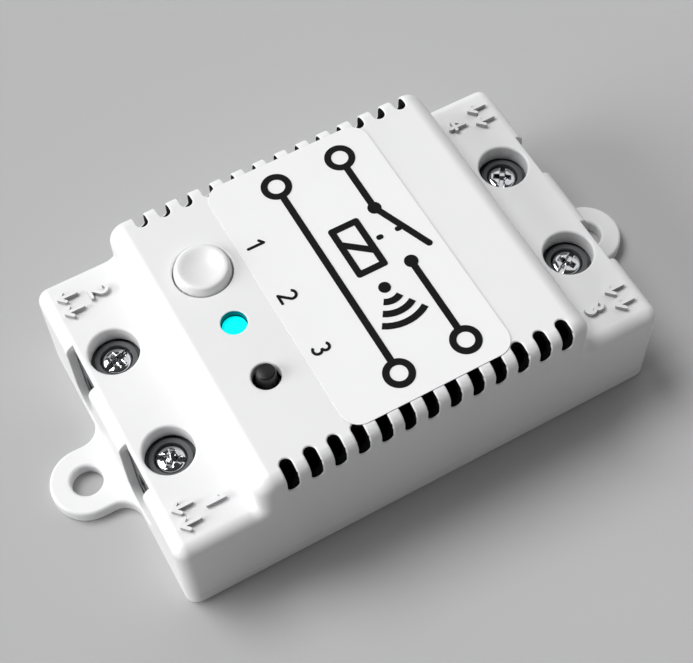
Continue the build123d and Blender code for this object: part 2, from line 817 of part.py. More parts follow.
# Learn button: a turned cap with a dished top and chamfered rim, a flange that keeps it under
# the roof, and a square socket for the plunger
cap_top = body_height + learn_cap_proud
flange_top = roof_underside - slide_gap
flange_bottom = flange_top - learn_flange_height
with BuildPart() as learn_button:
    with BuildSketch(Plane((control_x, learn_y, 0), x_dir=(1, 0, 0), z_dir=(0, -1, 0))):
        with BuildLine():
            Polyline(
                (0, cap_top - learn_dish_depth),
                (learn_dish_floor_radius, cap_top - learn_dish_depth),
                (learn_dish_radius, cap_top),
                (learn_cap_top_radius - learn_cap_rim_chamfer, cap_top),
                (learn_cap_top_radius, cap_top - learn_cap_rim_chamfer),
                (learn_cap_radius, body_height),
                (learn_cap_radius, flange_top),
                (learn_flange_radius, flange_top),
                (learn_flange_radius, flange_bottom),
                (0, flange_bottom),
                (0, cap_top - learn_dish_depth),
            )
        make_face()
    revolve(axis=Axis((control_x, learn_y, 0), (0, 0, 1)))
    socket_top = plunger_foot + learn_plunger_height + learn_post_height + seat_gap
    with BuildSketch(Plane.XY.offset(flange_bottom)):
        with Locations((control_x, learn_y)):
            Rectangle(learn_post_size + seat_gap, learn_post_size + seat_gap)
    extrude(amount=socket_top - flange_bottom, mode=Mode.SUBTRACT)
learn_button.part.label = "learn_button"
export_step(learn_button.part, "parts/learn_button.step")


# Pairing switch: the small square housing, its frame, and the long tapered plunger
with BuildPart() as pairing_switch:
    with BuildSketch(Plane.XY.offset(control_top)):
        with Locations((control_x, pairing_y)):
            Rectangle(pairing_switch_size, pairing_switch_size)
    extrude(amount=switch_body_height - switch_frame_thickness)
    with BuildSketch(Plane.XY.offset(switch_top)):
        with Locations((control_x, pairing_y)):
            RegularPolygon(pairing_pocket_radius, small_sides)
    extrude(amount=-pairing_pocket_depth, mode=Mode.SUBTRACT)
pairing_switch.part.label = "pairing_switch"
export_step(pairing_switch.part, "parts/pairing_switch.step")

with BuildPart() as pairing_frame:
    with BuildSketch(Plane.XY.offset(switch_top - switch_frame_thickness)):
        with Locations((control_x, pairing_y)):
            Rectangle(pairing_switch_size, pairing_switch_size)
            RegularPolygon(pairing_pocket_radius, small_sides, mode=Mode.SUBTRACT)
    extrude(amount=switch_frame_thickness)
pairing_frame.part.label = "pairing_switch_frame"
export_step(pairing_frame.part, "parts/pairing_switch_frame.step")

with BuildPart() as pairing_button:
    button_top = body_height + pairing_proud
    with BuildSketch(Plane.XY.offset(switch_top - pairing_plunger_sink)):
        with Locations((control_x, pairing_y)):
            Circle(pairing_plunger_radius)
    extrude(amount=button_top - pairing_taper_height - (switch_top - pairing_plunger_sink))
    with BuildSketch(Plane.XY.offset(button_top - pairing_taper_height)):
        with Locations((control_x, pairing_y)):
            Circle(pairing_plunger_radius)
    with BuildSketch(Plane.XY.offset(button_top)):
        with Locations((control_x, pairing_y)):
            Circle(pairing_top_radius)
    loft()
    chamfer(pairing_button.edges().group_by(Axis.Z)[-1], length=pairing_tip_chamfer)
pairing_button.part.label = "pairing_button"
export_step(pairing_button.part, "parts/pairing_button.step")


# Status lamp: an LED on the control board and the clear pipe that brings its light to the roof
lamp_top = body_height - lamp_recess
with BuildPart() as status_led:
    with BuildSketch(Plane.XY.offset(control_top)):
        with Locations((control_x, lamp_y)):
            Rectangle(led_width, led_length)
    extrude(amount=led_height)
status_led.part.label = "status_led"
export_step(status_led.part, "parts/status_led.step")

with BuildPart() as light_pipe:
    pipe_foot = control_top + led_height + lamp_gap
    with BuildSketch(Plane.XY.offset(pipe_foot)):
        with Locations((control_x, lamp_y)):
            Circle(lamp_hole_radius - seat_gap)
    extrude(amount=lamp_top - pipe_foot)
    with BuildSketch(Plane.XY.offset(roof_underside - seat_gap)):
        with Locations((control_x, lamp_y)):
            Rectangle(lamp_flange_size, lamp_flange_size)
    extrude(amount=-lamp_flange_height)
light_pipe.part.label = "light_pipe"
export_step(light_pipe.part, "parts/light_pipe.step")


# Relay: base, coil and its iron parts, the armature with its contact spring, two fixed
# contacts, and the case over them
with BuildPart() as relay_base:
    with BuildSketch(Plane.XY.offset(relay_foot)):
        with Locations((relay_x, relay_y)):
            Rectangle(relay_inner_length - 2 * seat_gap, relay_inner_width - 2 * seat_gap)
        with Locations(*relay_pins):
            Rectangle(relay_pin_hole_size, relay_pin_hole_size, mode=Mode.SUBTRACT)
        with Locations(*relay_pins[:2]):
            Rectangle(strap_thickness + 2 * seat_gap, strap_width + 2 * seat_gap, mode=Mode.SUBTRACT)
    extrude(amount=relay_base_thickness)
relay_base.part.label = "relay_base"
export_step(relay_base.part, "parts/relay_base.step")

with BuildPart() as relay_case:
    with BuildSketch(Plane.XY.offset(relay_foot)):
        with Locations((relay_x, relay_y)):
            Rectangle(relay_length, relay_width)
    extrude(amount=relay_height)
    chamfer(relay_case.edges().group_by(Axis.Z)[-1], length=relay_wall / 2)
    with BuildSketch(Plane.XY.offset(relay_foot)):
        with Locations((relay_x, relay_y)):
            Rectangle(relay_inner_length, relay_inner_width)
    extrude(amount=relay_height - relay_wall, mode=Mode.SUBTRACT)
relay_case.part.label = "relay_case"
export_step(relay_case.part, "parts/relay_case.step")

with BuildPart() as relay_yoke:
    with BuildSketch(Plane.XY.offset(yoke_bottom)):
        with Locations((yoke_x - yoke_thickness / 2, relay_y)):
            Rectangle(yoke_foot_length, yoke_width, align=(Align.MIN, Align.CENTER))
        with Locations((coil_x, relay_y)):
            RegularPolygon(core_radius, small_sides, mode=Mode.SUBTRACT)
    extrude(amount=yoke_thickness)
    with BuildSketch(Plane.XY.offset(yoke_bottom)):
        with Locations((yoke_x, relay_y)):
            Rectangle(yoke_thickness, yoke_width)
    extrude(amount=yoke_top - yoke_bottom)
    with BuildSketch(Plane.XY.offset(yoke_bottom)):
        with Locations((yoke_x, relay_y)):
            Rectangle(relay_pin_size, relay_pin_size)
    extrude(amount=lead_end - yoke_bottom)
relay_yoke.part.label = "relay_yoke"
export_step(relay_yoke.part, "parts/relay_yoke.step")

with BuildPart() as relay_core:
    with BuildSketch(Plane.XY.offset(yoke_bottom)):
        with Locations((coil_x, relay_y)):
            RegularPolygon(core_radius, small_sides)
    extrude(amount=pole_top - yoke_bottom)
    with BuildSketch(Plane.XY.offset(pole_top)):
        with Locations((coil_x, relay_y)):
            RegularPolygon(pole_radius, small_sides)
    extrude(amount=-pole_thickness)
relay_core.part.label = "relay_core"
export_step(relay_core.part, "parts/relay_core.step")

with BuildPart() as relay_bobbin:
    for level in (bobbin_bottom, bobbin_top - bobbin_flange):
        with BuildSketch(Plane.XY.offset(level)):
            with Locations((coil_x, relay_y)):
                Rectangle(bobbin_size, bobbin_size)
        extrude(amount=bobbin_flange)
    with BuildSketch(Plane.XY.offset(bobbin_bottom)):
        with Locations((coil_x, relay_y)):
            RegularPolygon(bobbin_tube_radius, small_sides)
    extrude(amount=bobbin_height)
    with BuildSketch(Plane.XY.offset(bobbin_bottom)):
        with Locations((coil_x, relay_y)):
            RegularPolygon(core_radius + seat_gap, small_sides)
    extrude(amount=bobbin_height, mode=Mode.SUBTRACT)
    with BuildSketch(Plane.XY.offset(bobbin_bottom + bobbin_flange)):
        with Locations(*relay_pins[3:]):
            Rectangle(relay_pin_size, relay_pin_size)
    extrude(amount=lead_end - bobbin_bottom - bobbin_flange)
    with BuildSketch(Plane.XY.offset(bobbin_bottom)):
        with Locations((coil_x, relay_y)):
            Rectangle(relay_pin_size, bobbin_size + 2 * relay_pin_size)
            Rectangle(relay_pin_size, bobbin_size - relay_pin_size, mode=Mode.SUBTRACT)
    extrude(amount=bobbin_flange)
relay_bobbin.part.label = "relay_bobbin"
export_step(relay_bobbin.part, "parts/relay_bobbin.step")

with BuildPart() as relay_winding:
    with BuildSketch(Plane.XY.offset(bobbin_bottom + bobbin_flange)):
        with Locations((coil_x, relay_y)):
            RegularPolygon(winding_radius, small_sides)
            RegularPolygon(bobbin_tube_radius, small_sides, mode=Mode.SUBTRACT)
    extrude(amount=bobbin_height - 2 * bobbin_flange)
relay_winding.part.label = "relay_winding"
export_step(relay_winding.part, "parts/relay_winding.step")

with BuildPart() as relay_armature:
    with BuildSketch(Plane.XY.offset(armature_bottom)):
        with Locations((hinge_x - yoke_thickness + armature_overhang, relay_y)):
            Rectangle(armature_reach, armature_width, align=(Align.MIN, Align.CENTER))
    extrude(amount=armature_thickness)
relay_armature.part.label = "relay_armature"
export_step(relay_armature.part, "parts/relay_armature.step")

with BuildPart() as contact_spring:
    with BuildSketch(Plane.XY.offset(spring_bottom)):
        with Locations((spring_end, relay_y)):
            Rectangle(spring_reach - yoke_thickness, spring_width, align=(Align.MAX, Align.CENTER))
    extrude(amount=spring_thickness)
    with BuildSketch(Plane.XY.offset(spring_bottom - contact_height)):
        with Locations((contact_x, relay_y)):
            RegularPolygon(contact_radius, small_sides)
    extrude(amount=2 * contact_height + spring_thickness)
contact_spring.part.label = "relay_contact_spring"
export_step(contact_spring.part, "parts/relay_contact_spring.step")

closed_strap_level = spring_top + contact_height + seat_gap + contact_height
open_strap_level = spring_bottom - contact_height - contact_travel - contact_height - strap_thickness
fixed_contacts = [
    ("relay_closed_contact", 1, closed_strap_level, closed_strap_level - contact_height),
    ("relay_open_contact", -1, open_strap_level, open_strap_level + strap_thickness),
]
for name, side, strap_level, button_level in fixed_contacts:
    strap_edge = relay_y + side * (strap_side + strap_width / 2)
    with BuildPart() as fixed_contact:
        with BuildSketch(Plane.XY.offset(strap_level)):
            with Locations((strap_x + strap_thickness / 2, strap_edge + side * strap_width / 2)):
                outer = Align.MAX if side > 0 else Align.MIN
                Rectangle(strap_length, strap_across, align=(Align.MAX, outer))
        extrude(amount=strap_thickness)
        with BuildSketch(Plane.XY.offset(strap_level)):
            with Locations((strap_x, strap_edge)):
                Rectangle(strap_thickness, strap_width)
        extrude(amount=relay_foot - strap_level)
        with BuildSketch(Plane.XY.offset(relay_foot)):
            with Locations((strap_x, strap_edge)):
                Rectangle(strap_thickness, relay_pin_size)
        extrude(amount=lead_end - relay_foot)
        with BuildSketch(Plane.XY.offset(button_level)):
            with Locations((contact_x, relay_y)):
                RegularPolygon(contact_radius, small_sides)
        extrude(amount=contact_height)
    fixed_contact.part.label = name
    export_step(fixed_contact.part, f"parts/{name}.step")


# Transformer: the ferrite core, the former with its pins, and the taped turns
former_bottom = board_top
core_bottom = former_bottom + former_foot_height + seat_gap
window_height = ferrite_height - 2 * ferrite_bridge
window_length = (ferrite_length - ferrite_centre_leg) / 2 - ferrite_outer_leg
window_centre = (ferrite_centre_leg + window_length) / 2
with BuildPart() as transformer_core:
    with BuildSketch(Plane.XY.offset(core_bottom)):
        with Locations((transformer_x, transformer_y)):
            Rectangle(ferrite_length, ferrite_width)
    extrude(amount=ferrite_height)
    with BuildSketch(Plane.XY.offset(core_bottom + ferrite_bridge)):
        with Locations(
            (transformer_x - window_centre, transformer_y), (transformer_x + window_centre, transformer_y)
        ):
            Rectangle(window_length, ferrite_width)
    extrude(amount=window_height, mode=Mode.SUBTRACT)
transformer_core.part.label = "transformer_core"
export_step(transformer_core.part, "parts/transformer_core.step")

leg_length = ferrite_centre_leg + 2 * seat_gap
leg_width = ferrite_width + 2 * seat_gap
former_length = leg_length + 2 * former_wall
former_width = leg_width + 2 * former_wall
flange_length = ferrite_centre_leg + 2 * window_length - 2 * seat_gap
turns_bottom = core_bottom + ferrite_bridge + seat_gap + former_flange
turns_height = window_height - 2 * seat_gap - 2 * former_flange
with BuildPart() as transformer_former:
    with BuildSketch(Plane.XY.offset(former_bottom)):
        with Locations((transformer_x, transformer_y)):
            Rectangle(former_foot_length, former_foot_width)
    extrude(amount=former_foot_height)
    for level in (turns_bottom - former_flange, turns_bottom + turns_height):
        with BuildSketch(Plane.XY.offset(level)):
            with Locations((transformer_x, transformer_y)):
                Rectangle(flange_length, former_foot_width)
        extrude(amount=former_flange)
    with BuildSketch(Plane.XY.offset(turns_bottom)):
        with Locations((transformer_x, transformer_y)):
            Rectangle(former_length, former_width)
    extrude(amount=turns_height)
    with BuildSketch(Plane.XY.offset(turns_bottom - former_flange)):
        with Locations((transformer_x, transformer_y)):
            Rectangle(leg_length, leg_width)
    extrude(amount=window_height, mode=Mode.SUBTRACT)
    cheek_offset = (former_foot_width + ferrite_width) / 4 + seat_gap / 2
    cheek_width = (former_foot_width - ferrite_width) / 2 - seat_gap
    with BuildSketch(Plane.XY.offset(former_bottom)):
        with Locations(
            (transformer_x, transformer_y - cheek_offset), (transformer_x, transformer_y + cheek_offset)
        ):
            Rectangle(flange_length, cheek_width)
    extrude(amount=turns_bottom - former_bottom)
    with BuildSketch(Plane.XY.offset(former_bottom)):
        with Locations(*former_pins):
            Rectangle(lead_size, lead_size)
    extrude(amount=lead_end - former_bottom)
transformer_former.part.label = "transformer_former"
export_step(transformer_former.part, "parts/transformer_former.step")

turns_length = former_length + 2 * turns_thickness
turns_width = former_width + 2 * turns_thickness
with BuildPart() as transformer_turns:
    with BuildSketch(Plane.XY.offset(turns_bottom)):
        with Locations((transformer_x, transformer_y)):
            RectangleRounded(turns_length, turns_width, turns_thickness / 2)
            Rectangle(former_length, former_width, mode=Mode.SUBTRACT)
    extrude(amount=turns_height)
transformer_turns.part.label = "transformer_turns"
export_step(transformer_turns.part, "parts/transformer_turns.step")


# Electrolytic capacitors: sleeved cans with a scored vent on top
cans = [
    ("input_capacitor", input_can_x, input_can_y, input_can_radius, input_can_height, input_leads),
    ("output_capacitor", output_can_x, output_can_y, output_can_radius, output_can_height, output_leads),
]
for name, x, y, radius, height, leads in cans:
    can_top = board_top + height
    with BuildPart() as can:
        with BuildSketch(Plane.XY.offset(board_top)):
            with Locations((x, y)):
                RegularPolygon(radius, can_sides)
        extrude(amount=height)
        chamfer(can.edges().group_by(Axis.Z)[-1], length=can_edge_chamfer)
        with BuildSketch(Plane.XY.offset(can_top)):
            with Locations((x, y)):
                Rectangle(radius, can_vent_width)
                Rectangle(can_vent_width, radius)
        extrude(amount=-can_vent_depth, mode=Mode.SUBTRACT)
        with BuildSketch(Plane.XY.offset(board_top)):
            with Locations(*leads):
                Rectangle(lead_size, lead_size)
        extrude(amount=-lead_length)
    can.part.label = name
    export_step(can.part, f"parts/{name}.step")


# Film capacitor across the mains, in a moulded box
with BuildPart() as film_capacitor:
    with BuildSketch(Plane.XY.offset(board_top)):
        with Locations((film_x, film_y)):
            Rectangle(film_width, film_length)
    extrude(amount=film_height)
    chamfer(film_capacitor.edges().group_by(Axis.Z)[-1], length=film_chamfer)
    with BuildSketch(Plane.XY.offset(board_top)):
        with Locations(*film_leads):
            Rectangle(lead_size, lead_size)
    extrude(amount=-lead_length)
film_capacitor.part.label = "film_capacitor"
export_step(film_capacitor.part, "parts/film_capacitor.step")


# Varistor: a dipped disc that stands on its two leads
with BuildPart() as varistor:
    disc_centre = board_top + varistor_lift + varistor_radius
    with BuildSketch(Plane.YZ.offset(varistor_x - varistor_thickness / 2)):
        with Locations((varistor_y, disc_centre)):
            RegularPolygon(varistor_radius, can_sides)
    extrude(amount=varistor_thickness)
    disc_rims = varistor.edges().group_by(Axis.X)
    chamfer(disc_rims[0] + disc_rims[-1], length=varistor_chamfer)
    with BuildSketch(Plane.XY.offset(lead_end)):
        with Locations(*varistor_leads):
            Rectangle(lead_size, lead_size)
    extrude(amount=disc_centre - lead_end)
varistor.part.label = "varistor"
export_step(varistor.part, "parts/varistor.step")


# Fuse: a moulded box on two leads
with BuildPart() as fuse:
    with BuildSketch(Plane.XY.offset(board_top)):
        with Locations((fuse_x, fuse_y)):
            Rectangle(fuse_width, fuse_length)
    extrude(amount=fuse_height)
    chamfer(fuse.edges().group_by(Axis.Z)[-1], length=film_chamfer)
    with BuildSketch(Plane.XY.offset(board_top)):
        with Locations(*fuse_leads):
            Rectangle(lead_size, lead_size)
    extrude(amount=-lead_length)
fuse.part.label = "fuse"
export_step(fuse.part, "parts/fuse.step")


# Choke: a ferrite drum and the wire wound in its waist
with BuildPart() as choke_drum:
    with BuildSketch(Plane.XY.offset(board_top)):
        with Locations((choke_x, choke_y)):
            RegularPolygon(choke_radius, small_sides)
    extrude(amount=choke_height)
    with BuildSketch(Plane.XY.offset(board_top + choke_flange)):
        with Locations((choke_x, choke_y)):
            RegularPolygon(choke_radius, small_sides)
            RegularPolygon(choke_waist_radius, small_sides, mode=Mode.SUBTRACT)
    extrude(amount=choke_height - 2 * choke_flange, mode=Mode.SUBTRACT)
    with BuildSketch(Plane.XY.offset(board_top)):
        with Locations(*choke_leads):
            Rectangle(lead_size, lead_size)
    extrude(amount=-lead_length)
choke_drum.part.label = "choke_drum"
export_step(choke_drum.part, "parts/choke_drum.step")

with BuildPart() as choke_winding:
    with BuildSketch(Plane.XY.offset(board_top + choke_flange)):
        with Locations((choke_x, choke_y)):
            RegularPolygon(choke_winding_radius, small_sides)
            RegularPolygon(choke_waist_radius, small_sides, mode=Mode.SUBTRACT)
    extrude(amount=choke_height - 2 * choke_flange)
choke_winding.part.label = "choke_winding"
export_step(choke_winding.part, "parts/choke_winding.step")


# Bridge rectifier: a flat moulded body on four gull-wing legs
with BuildPart() as bridge_rectifier:
    with BuildSketch(Plane.XY.offset(board_top + bridge_leg_thickness)):
        with Locations((bridge_x, bridge_y)):
            Rectangle(bridge_length, bridge_width)
    extrude(amount=bridge_height)
    with BuildSketch(Plane.XY.offset(board_top)):
        with Locations((bridge_x, bridge_y)):
            with GridLocations(bridge_leg_pitch, 0, 2, 1):
                Rectangle(bridge_leg_width, bridge_width + 2 * bridge_leg_reach)
    extrude(amount=bridge_leg_thickness)
bridge_rectifier.part.label = "bridge_rectifier"
export_step(bridge_rectifier.part, "parts/bridge_rectifier.step")


# Voltage regulator: a small moulded package with its heat tab
with BuildPart() as regulator:
    with BuildSketch(Plane.XY.offset(board_top)):
        with Locations((regulator_x, regulator_y)):
            Rectangle(regulator_width, regulator_length)
    extrude(amount=regulator_height)
    with BuildSketch(Plane.XY.offset(board_top)):
        with Locations((regulator_x, regulator_y)):
            Rectangle(regulator_width + 2 * regulator_tab_reach, regulator_tab_width)
    extrude(amount=regulator_tab_thickness)
regulator.part.label = "voltage_regulator"
export_step(regulator.part, "parts/voltage_regulator.step")


# Header between the boards: a strip of tall pins in a moulded bar
with BuildPart() as board_header:
    with BuildSketch(Plane.XY.offset(board_top)):
        with Locations((header_x, 0)):
            Rectangle(header_size, header_pins * header_pitch)
    extrude(amount=header_size)
    with BuildSketch(Plane.XY.offset(lead_end)):
        with Locations(*header_places):
            Rectangle(header_pin_size, header_pin_size)
    extrude(amount=control_top + header_tail - lead_end)
board_header.part.label = "board_header"
export_step(board_header.part, "parts/board_header.step")


# Radio module under the control board: a thin board with a shield can
with BuildPart() as radio_board:
    with BuildSketch(Plane.XY.offset(control_bottom)):
        with Locations((control_board_x - shield_offset, radio_y)):
            Rectangle(radio_length, radio_width)
    extrude(amount=-radio_board_thickness)
radio_board.part.label = "radio_board"
export_step(radio_board.part, "parts/radio_board.step")

with BuildPart() as radio_shield:
    shield_top = control_bottom - radio_board_thickness
    with BuildSketch(Plane.XY.offset(shield_top)):
        with Locations((control_board_x - shield_offset, radio_y + shield_offset)):
            Rectangle(shield_length, shield_width)
    extrude(amount=-shield_height)
    with BuildSketch(Plane.XY.offset(shield_top)):
        with Locations((control_board_x - shield_offset, radio_y + shield_offset)):
            Rectangle(shield_length - 2 * shield_wall, shield_width - 2 * shield_wall)
    extrude(amount=shield_wall - shield_height, mode=Mode.SUBTRACT)
radio_shield.part.label = "radio_shield"
export_step(radio_shield.part, "parts/radio_shield.step")
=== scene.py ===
import bpy
import bmesh
import math
from mathutils import Matrix, Vector


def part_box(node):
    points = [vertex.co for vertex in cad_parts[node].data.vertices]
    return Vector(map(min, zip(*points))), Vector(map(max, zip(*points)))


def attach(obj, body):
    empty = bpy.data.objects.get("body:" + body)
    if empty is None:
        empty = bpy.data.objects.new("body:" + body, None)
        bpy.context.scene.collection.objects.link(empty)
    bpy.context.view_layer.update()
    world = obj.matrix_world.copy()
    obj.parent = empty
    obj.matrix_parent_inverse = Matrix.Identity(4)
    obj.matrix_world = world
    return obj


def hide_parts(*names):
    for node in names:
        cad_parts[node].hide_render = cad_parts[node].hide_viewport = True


# Smart relay module, dressed for its picture. Every length is in millimetres until it is
# multiplied by mm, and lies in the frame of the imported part: X from the OUT end to the IN end,
# Y across the body, Z up.
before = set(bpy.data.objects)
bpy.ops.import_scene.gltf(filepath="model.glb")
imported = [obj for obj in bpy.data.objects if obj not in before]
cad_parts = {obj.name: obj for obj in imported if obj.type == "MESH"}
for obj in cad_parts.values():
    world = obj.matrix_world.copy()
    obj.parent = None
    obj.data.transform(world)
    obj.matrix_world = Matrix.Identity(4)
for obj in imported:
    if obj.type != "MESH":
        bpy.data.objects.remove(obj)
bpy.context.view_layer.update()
bpy.ops.object.select_all(action="DESELECT")
mm = 0.001


# Base plate. A flat floor of white ABS with the two fixing ears in one piece with it, injection
# moulded with a fine satin texture. The cover sits on it, and four screws from below hold both.
def only(piece):
    """Makes one piece the selected and active one."""
    bpy.ops.object.select_all(action="DESELECT")
    piece.select_set(True)
    bpy.context.view_layer.objects.active = piece
    return piece


def placed(piece):
    """Moves a new piece's place, turn and size into its mesh."""
    only(piece)
    bpy.ops.object.transform_apply(location=True, rotation=True, scale=True)
    return piece


def pick(piece, kind, test):
    """Opens a piece for editing with those edges or faces selected that pass the test.

    An edge is tested by its middle and its run in millimetres and its bend in degrees, and a
    face by its middle in millimetres and its normal.
    """
    only(piece)
    bpy.ops.object.mode_set(mode="EDIT")
    bpy.ops.mesh.select_mode(type=kind)
    bpy.ops.mesh.select_all(action="DESELECT")
    mesh = bmesh.from_edit_mesh(piece.data)
    if kind == "EDGE":
        for edge in mesh.edges:
            start, end = (corner.co / mm for corner in edge.verts)
            bend = math.degrees(edge.calc_face_angle(0))
            edge.select_set(test((start + end) / 2, end - start, bend))
    else:
        for face in mesh.faces:
            face.select_set(test(face.calc_center_median() / mm, face.normal))
    mesh.select_flush_mode()
    bmesh.update_edit_mesh(piece.data)


def done():
    """Closes the piece that is open for editing."""
    bpy.ops.object.mode_set(mode="OBJECT")


def round_over(piece, radius, steps, test):
    """Rounds the chosen edges of a piece."""
    pick(piece, "EDGE", test)
    bpy.ops.mesh.bevel(
        offset=radius * mm, segments=steps, affect="EDGES", clamp_overlap=False, material=0
    )
    done()
    return piece


def node_copy(node, name):
    """A copy of a frame part as a new piece, with its triangles joined and its flats cleaned."""
    piece = bpy.data.objects.new(name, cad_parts[node].data.copy())
    bpy.context.scene.collection.objects.link(piece)
    only(piece)
    bpy.ops.object.mode_set(mode="EDIT")
    bpy.ops.mesh.select_all(action="SELECT")
    bpy.ops.mesh.remove_doubles(threshold=0.002 * mm)
    bpy.ops.mesh.dissolve_limited(angle_limit=math.radians(0.5))
    done()
    bpy.ops.mesh.customdata_custom_splitnormals_clear()
    return piece


def smooth(piece, angle=38):
    """Shades the rounds of a piece smoothly and keeps its flats flat."""
    only(piece)
    bpy.ops.object.shade_smooth_by_angle(angle=math.radians(angle))
    flats = piece.modifiers.new("flats", "WEIGHTED_NORMAL")
    flats.keep_sharp = True
    bpy.ops.object.modifier_apply(modifier=flats.name)
    return piece


def tone(red, green, blue):
    """A colour as it is seen on a screen, 0 to 255, as the renderer's own values."""
    parts = [c / 255 for c in (red, green, blue)]
    return tuple(((c + 0.055) / 1.055) ** 2.4 if c > 0.04 else c / 12.92 for c in parts) + (1,)


def new_group(name, inputs, outputs):
    """A shader group with named sockets, and its first nodes."""
    group = bpy.data.node_groups.new(name, "ShaderNodeTree")
    for socket, (kind, value) in inputs.items():
        made = group.interface.new_socket(name=socket, in_out="INPUT", socket_type=kind)
        made.default_value = value
    for socket, kind in outputs.items():
        group.interface.new_socket(name=socket, in_out="OUTPUT", socket_type=kind)
    nodes = group.nodes
    return group, nodes.new("NodeGroupInput"), nodes.new("NodeGroupOutput")


def noise(group, scale, detail, vector):
    """A noise in a group, by the number of its blobs in a metre."""
    node = group.nodes.new("ShaderNodeTexNoise")
    node.inputs["Scale"].default_value = scale
    node.inputs["Detail"].default_value = detail
    group.links.new(vector, node.inputs["Vector"])
    return node.outputs["Fac"]


def between(group, value, low, high):
    """Stretches the middle of a noise between two values."""
    node = group.nodes.new("ShaderNodeMapRange")
    node.inputs["From Min"].default_value = 0.3
    node.inputs["From Max"].default_value = 0.7
    group.links.new(value, node.inputs["Value"])
    for limit, name in ((low, "To Min"), (high, "To Max")):
        if isinstance(limit, bpy.types.NodeSocket):
            group.links.new(limit, node.inputs[name])
        else:
            node.inputs[name].default_value = limit
    return node.outputs["Result"]


def blend_colours(group, share, first, second):
    """Mixes two colours in a group."""
    node = group.nodes.new("ShaderNodeMix")
    node.data_type = "RGBA"
    for source, name in ((share, "Factor"), (first, "A"), (second, "B")):
        target = next(s for s in node.inputs if s.name == name and s.enabled)
        if isinstance(source, bpy.types.NodeSocket):
            group.links.new(source, target)
        else:
            target.default_value = source
    return next(s for s in node.outputs if s.enabled)


def raised(group, height, depth):
    """Turns a height into a normal, with a depth in metres."""
    node = group.nodes.new("ShaderNodeBump")
    node.inputs["Strength"].default_value = 1
    group.links.new(height, node.inputs["Height"])
    group.links.new(depth, node.inputs["Distance"])
    return node.outputs["Normal"]


COLOUR, NUMBER, VECTOR = "NodeSocketColor", "NodeSocketFloat", "NodeSocketVector"
skin_inputs = {
    "Colour": (COLOUR, (1, 1, 1, 1)),
    "Flow colour": (COLOUR, (1, 1, 1, 1)),
    "Least roughness": (NUMBER, 0.4),
    "Most roughness": (NUMBER, 0.5),
    "Grain depth": (NUMBER, 0.0),
}
skin_outputs = {"Colour": COLOUR, "Roughness": NUMBER, "Normal": VECTOR}

# Moulded skin: spark-eroded grain of the mould, broad flow marks and worn-smooth patches
moulded_skin, skin_in, skin_out = new_group("moulded skin", skin_inputs, skin_outputs)
place = moulded_skin.nodes.new("ShaderNodeTexCoord").outputs["Object"]
flow = between(moulded_skin, noise(moulded_skin, 55, 2, place), 0.0, 1.0)
colour = blend_colours(
    moulded_skin, flow, skin_in.outputs["Colour"], skin_in.outputs["Flow colour"]
)
patches = noise(moulded_skin, 240, 3, place)
roughness = between(
    moulded_skin, patches, skin_in.outputs["Least roughness"], skin_in.outputs["Most roughness"]
)
grain = raised(moulded_skin, noise(moulded_skin, 4200, 2, place), skin_in.outputs["Grain depth"])
moulded_skin.links.new(colour, skin_out.inputs["Colour"])
moulded_skin.links.new(roughness, skin_out.inputs["Roughness"])
moulded_skin.links.new(grain, skin_out.inputs["Normal"])


def finish(name, skin, colour, flow_colour, roughness, depth, **constants):
    """A material: one of the skins with its own values, and what is the same all over it."""
    material = bpy.data.materials.new(name)
    material.use_nodes = True
    nodes, links = material.node_tree.nodes, material.node_tree.links
    shader = nodes["Principled BSDF"]
    surface = nodes.new("ShaderNodeGroup")
    surface.node_tree = skin
    surface.inputs["Colour"].default_value = colour
    surface.inputs["Flow colour"].default_value = flow_colour
    surface.inputs["Least roughness"].default_value = roughness[0]
    surface.inputs["Most roughness"].default_value = roughness[1]
    surface.inputs["Grain depth"].default_value = depth * mm
    links.new(surface.outputs["Colour"], shader.inputs["Base Color"])
    links.new(surface.outputs["Roughness"], shader.inputs["Roughness"])
    links.new(surface.outputs["Normal"], shader.inputs["Normal"])
    for socket, value in constants.items():
        shader.inputs[socket.replace("_", " ")].default_value = value
    material.diffuse_color = colour
    return material


def wear(piece, material):
    """Gives a piece its material."""
    piece.data.materials.clear()
    piece.data.materials.append(material)
    return piece


white_abs = finish(
    "white_abs", moulded_skin, tone(236, 236, 236), tone(232, 232, 233), (0.34, 0.44), 0.003,
    Specular_IOR_Level=0.45,
)
body_low, body_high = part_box("top_cover")
half_length, half_width = body_high.x / mm, body_high.y / mm
parting = body_low.z / mm
ear_edge, parting_edge, foot_edge = 0.55, 0.14, 0.3

base = node_copy("base_plate", "base_plate_moulding")


def on_body_outline(p):
    return abs(p.y) > half_width - 2.3 or abs(abs(p.x) - half_length) < 0.6


round_over(base, ear_edge, 4, lambda p, run, bend: bend > 40 and abs(p.z - parting) < 0.01
           and abs(p.x) > half_length + 0.05)
round_over(base, parting_edge, 2, lambda p, run, bend: bend > 40 and abs(p.z - parting) < 0.01
           and on_body_outline(p))
round_over(base, foot_edge, 3, lambda p, run, bend: bend > 40 and abs(p.z) < 0.01)
smooth(base)
wear(base, white_abs)
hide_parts("base_plate")
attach(base, "housing")


